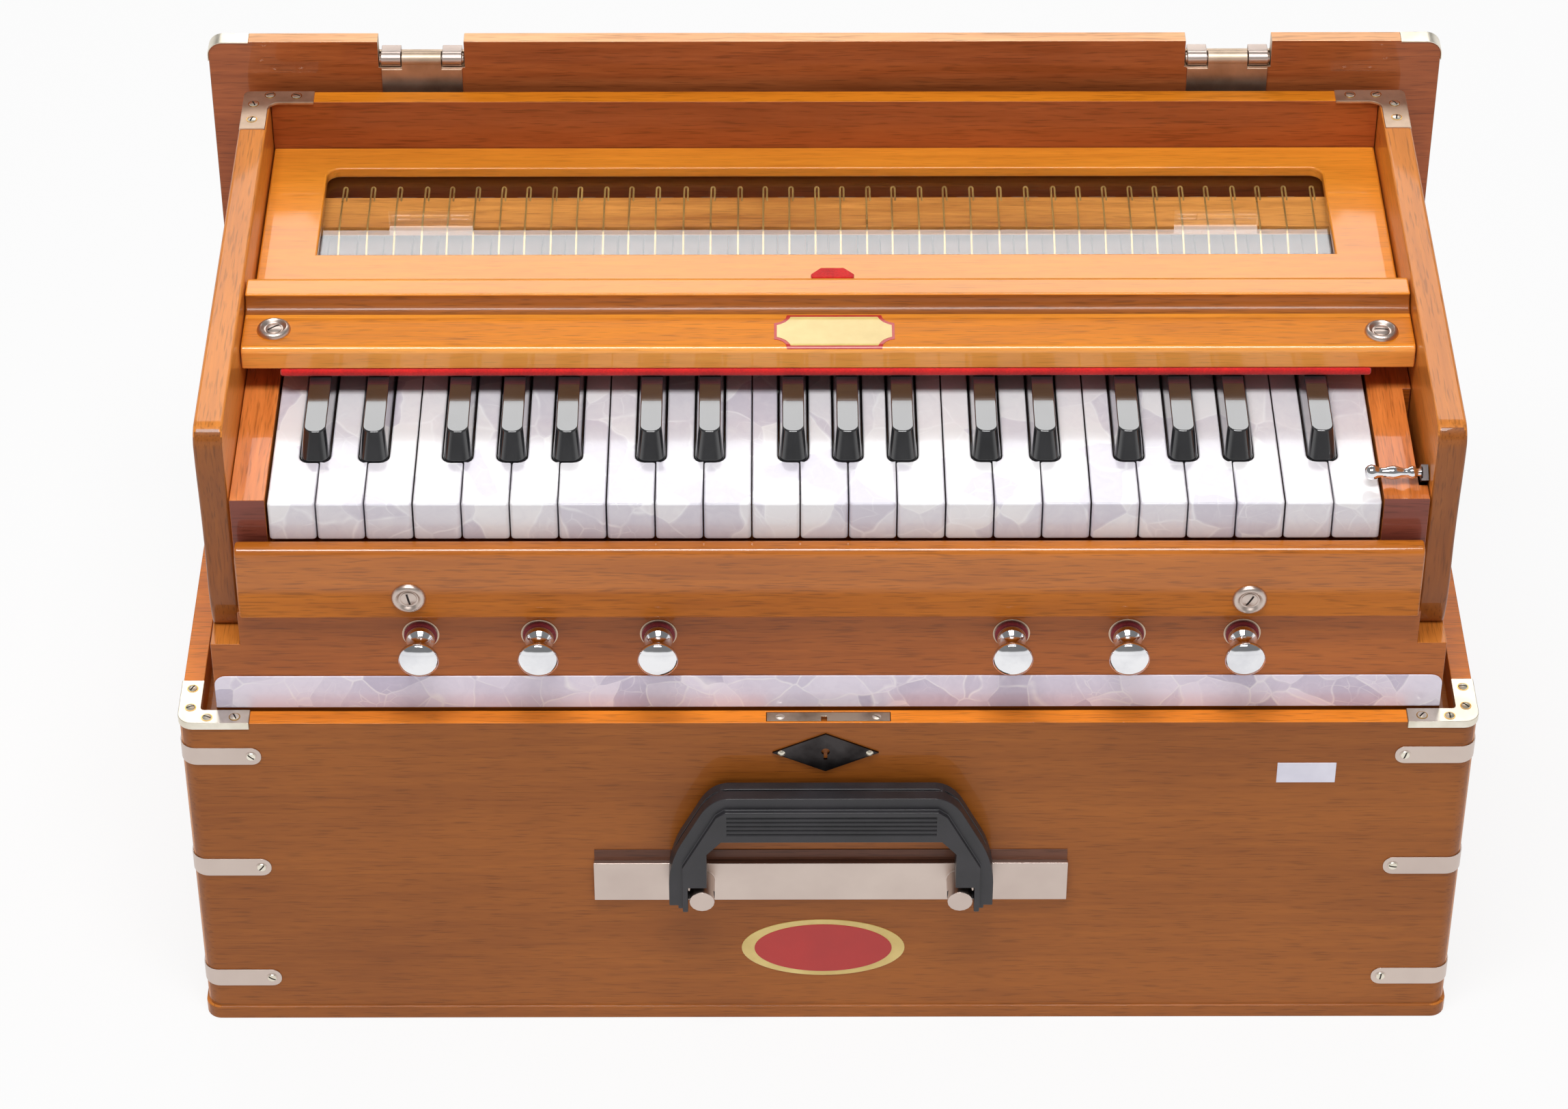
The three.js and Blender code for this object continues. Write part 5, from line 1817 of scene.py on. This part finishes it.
@dataclass
class Bellows:
    """The bellows folds, the pumping board and the lid that hangs on it."""

    screws: Fasteners
    top_mm: float = 347.3
    half_width_mm: float = 282.5
    corner_mm: float = 6.5
    cap_reach_mm: float = 264.0
    cap_depth_mm: Pair = (279.5, 287.6)
    cap_height_mm: float = 10.0
    cap_thickness_mm: float = 0.5
    cap_screw_mm: Pair = (269.8, 283.4)
    seat_mm: float = 0.55
    edge_mm: float = 12.0
    leaf_across_mm: Pair = (166.3, 203.8)
    leaf_heights_mm: Pair = (316.0, 335.0)
    leaf_back_mm: float = 279.4
    knuckle_across_mm: Pair = (165.2, 204.9)
    knuckle_foot_mm: float = 332.9
    knuckle_back_mm: float = 288.6

    def build(self) -> None:
        """Refine and mount folds, board and lid."""
        folds = polished(refined("bellows_folds", "bellows_cloth_folds"), Finish.CLOTH)
        mount(folds, "case", Slot.CLOTH, "bellows_folds")
        board = refined("bellows_board", "pumping_board")
        for _name, side in SIDES:
            across = (side * self.cap_reach_mm, side * 290)
            cut_away(board, blank("seat", across, (270, 295), (self.top_mm - self.seat_mm, self.top_mm + 1)))
        split_concave(board)
        soften(board, 0.3)
        polished(board, Finish.MAHOGANY)
        strip, top = self.cap_reach_mm * MM, (self.top_mm - self.edge_mm) * MM
        paint(board, Finish.MAHOGANY_UPRIGHT, lambda centre, n: abs(centre.x) > strip and n.y < -0.5)
        # Painted highlight: the board's upward faces near its top take a pale tone.
        paint(board, Finish.BOARD_EDGE, lambda centre, n: n.z > 0.6 and centre.z > top)
        paint(board, Finish.LEAF, self._hinge_leaf)
        paint(board, Finish.LEAF, self._hinge_metal)
        mount(board, "pump_board", Slot.CASE, "bellows_board")
        for name, side in SIDES:
            self._cap(f"board_cap_{name}", side)
        lid = polished(refined("lid", "lid_tray", 0.3, pierced=True), Finish.CASE)
        paint(lid, Finish.SATIN, self._hinge_metal)
        mount(lid, "lid", Slot.CASE, "lid")

    def _cap(self, name: str, side: int) -> None:
        """A nickel cap round an upper corner of the pumping board.

        Args:
            name: The cap's name.
            side: 1 for the right corner, -1 for the left one.
        """
        thick, (front, back) = self.cap_thickness_mm, self.cap_depth_mm
        outside = side * (self.half_width_mm + thick)
        near, far = sorted((side * self.cap_reach_mm, outside))
        space = spot(near, front, self.top_mm - self.cap_height_mm), spot(far, back, self.top_mm)
        cap = bent_band(name, *space, spot(outside, front, self.top_mm), 1, self.corner_mm, thick)
        soften(cap, 0.15)
        polished(cap, Finish.CREAM)
        across, depth = self.cap_screw_mm
        seat = spot(side * across, depth, self.top_mm - self.screws.rise_mm)
        mount(joined(name, [cap, self.screws.drive(Screw.PLAIN, seat)]), "pump_board", Slot.CHROME)

    def _hinge_leaf(self, centre: Vector, _normal: Vector) -> bool:
        """Tell whether a face belongs to a hinge's flat front leaf."""
        (near, far), (foot, top) = self.leaf_across_mm, self.leaf_heights_mm
        beside, level = near * MM < abs(centre.x) < far * MM, foot * MM < centre.z < top * MM
        return beside and level and centre.y < deep(self.leaf_back_mm)

    def _hinge_metal(self, centre: Vector, _normal: Vector) -> bool:
        """Tell whether a face belongs to a hinge's knuckles."""
        near, far = self.knuckle_across_mm
        beside = near * MM < abs(centre.x) < far * MM
        return beside and centre.z > self.knuckle_foot_mm * MM and centre.y < deep(self.knuckle_back_mm)


def main() -> None:
    """Build the instrument and its surroundings."""
    logging.basicConfig(level=logging.INFO, format="%(name)s: %(message)s")
    Studio().build()
    screws = Fasteners()
    OuterCase(screws).build()
    Chest(screws).build()
    Keyboard().build()
    NameRail(screws).build()
    GlazedCover().build()
    StopKnobs().build()
    CouplerLever().build()
    CarryingHandle().build()
    Bellows(screws).build()
    screws.put_away()


if __name__ == "__main__":
    main()
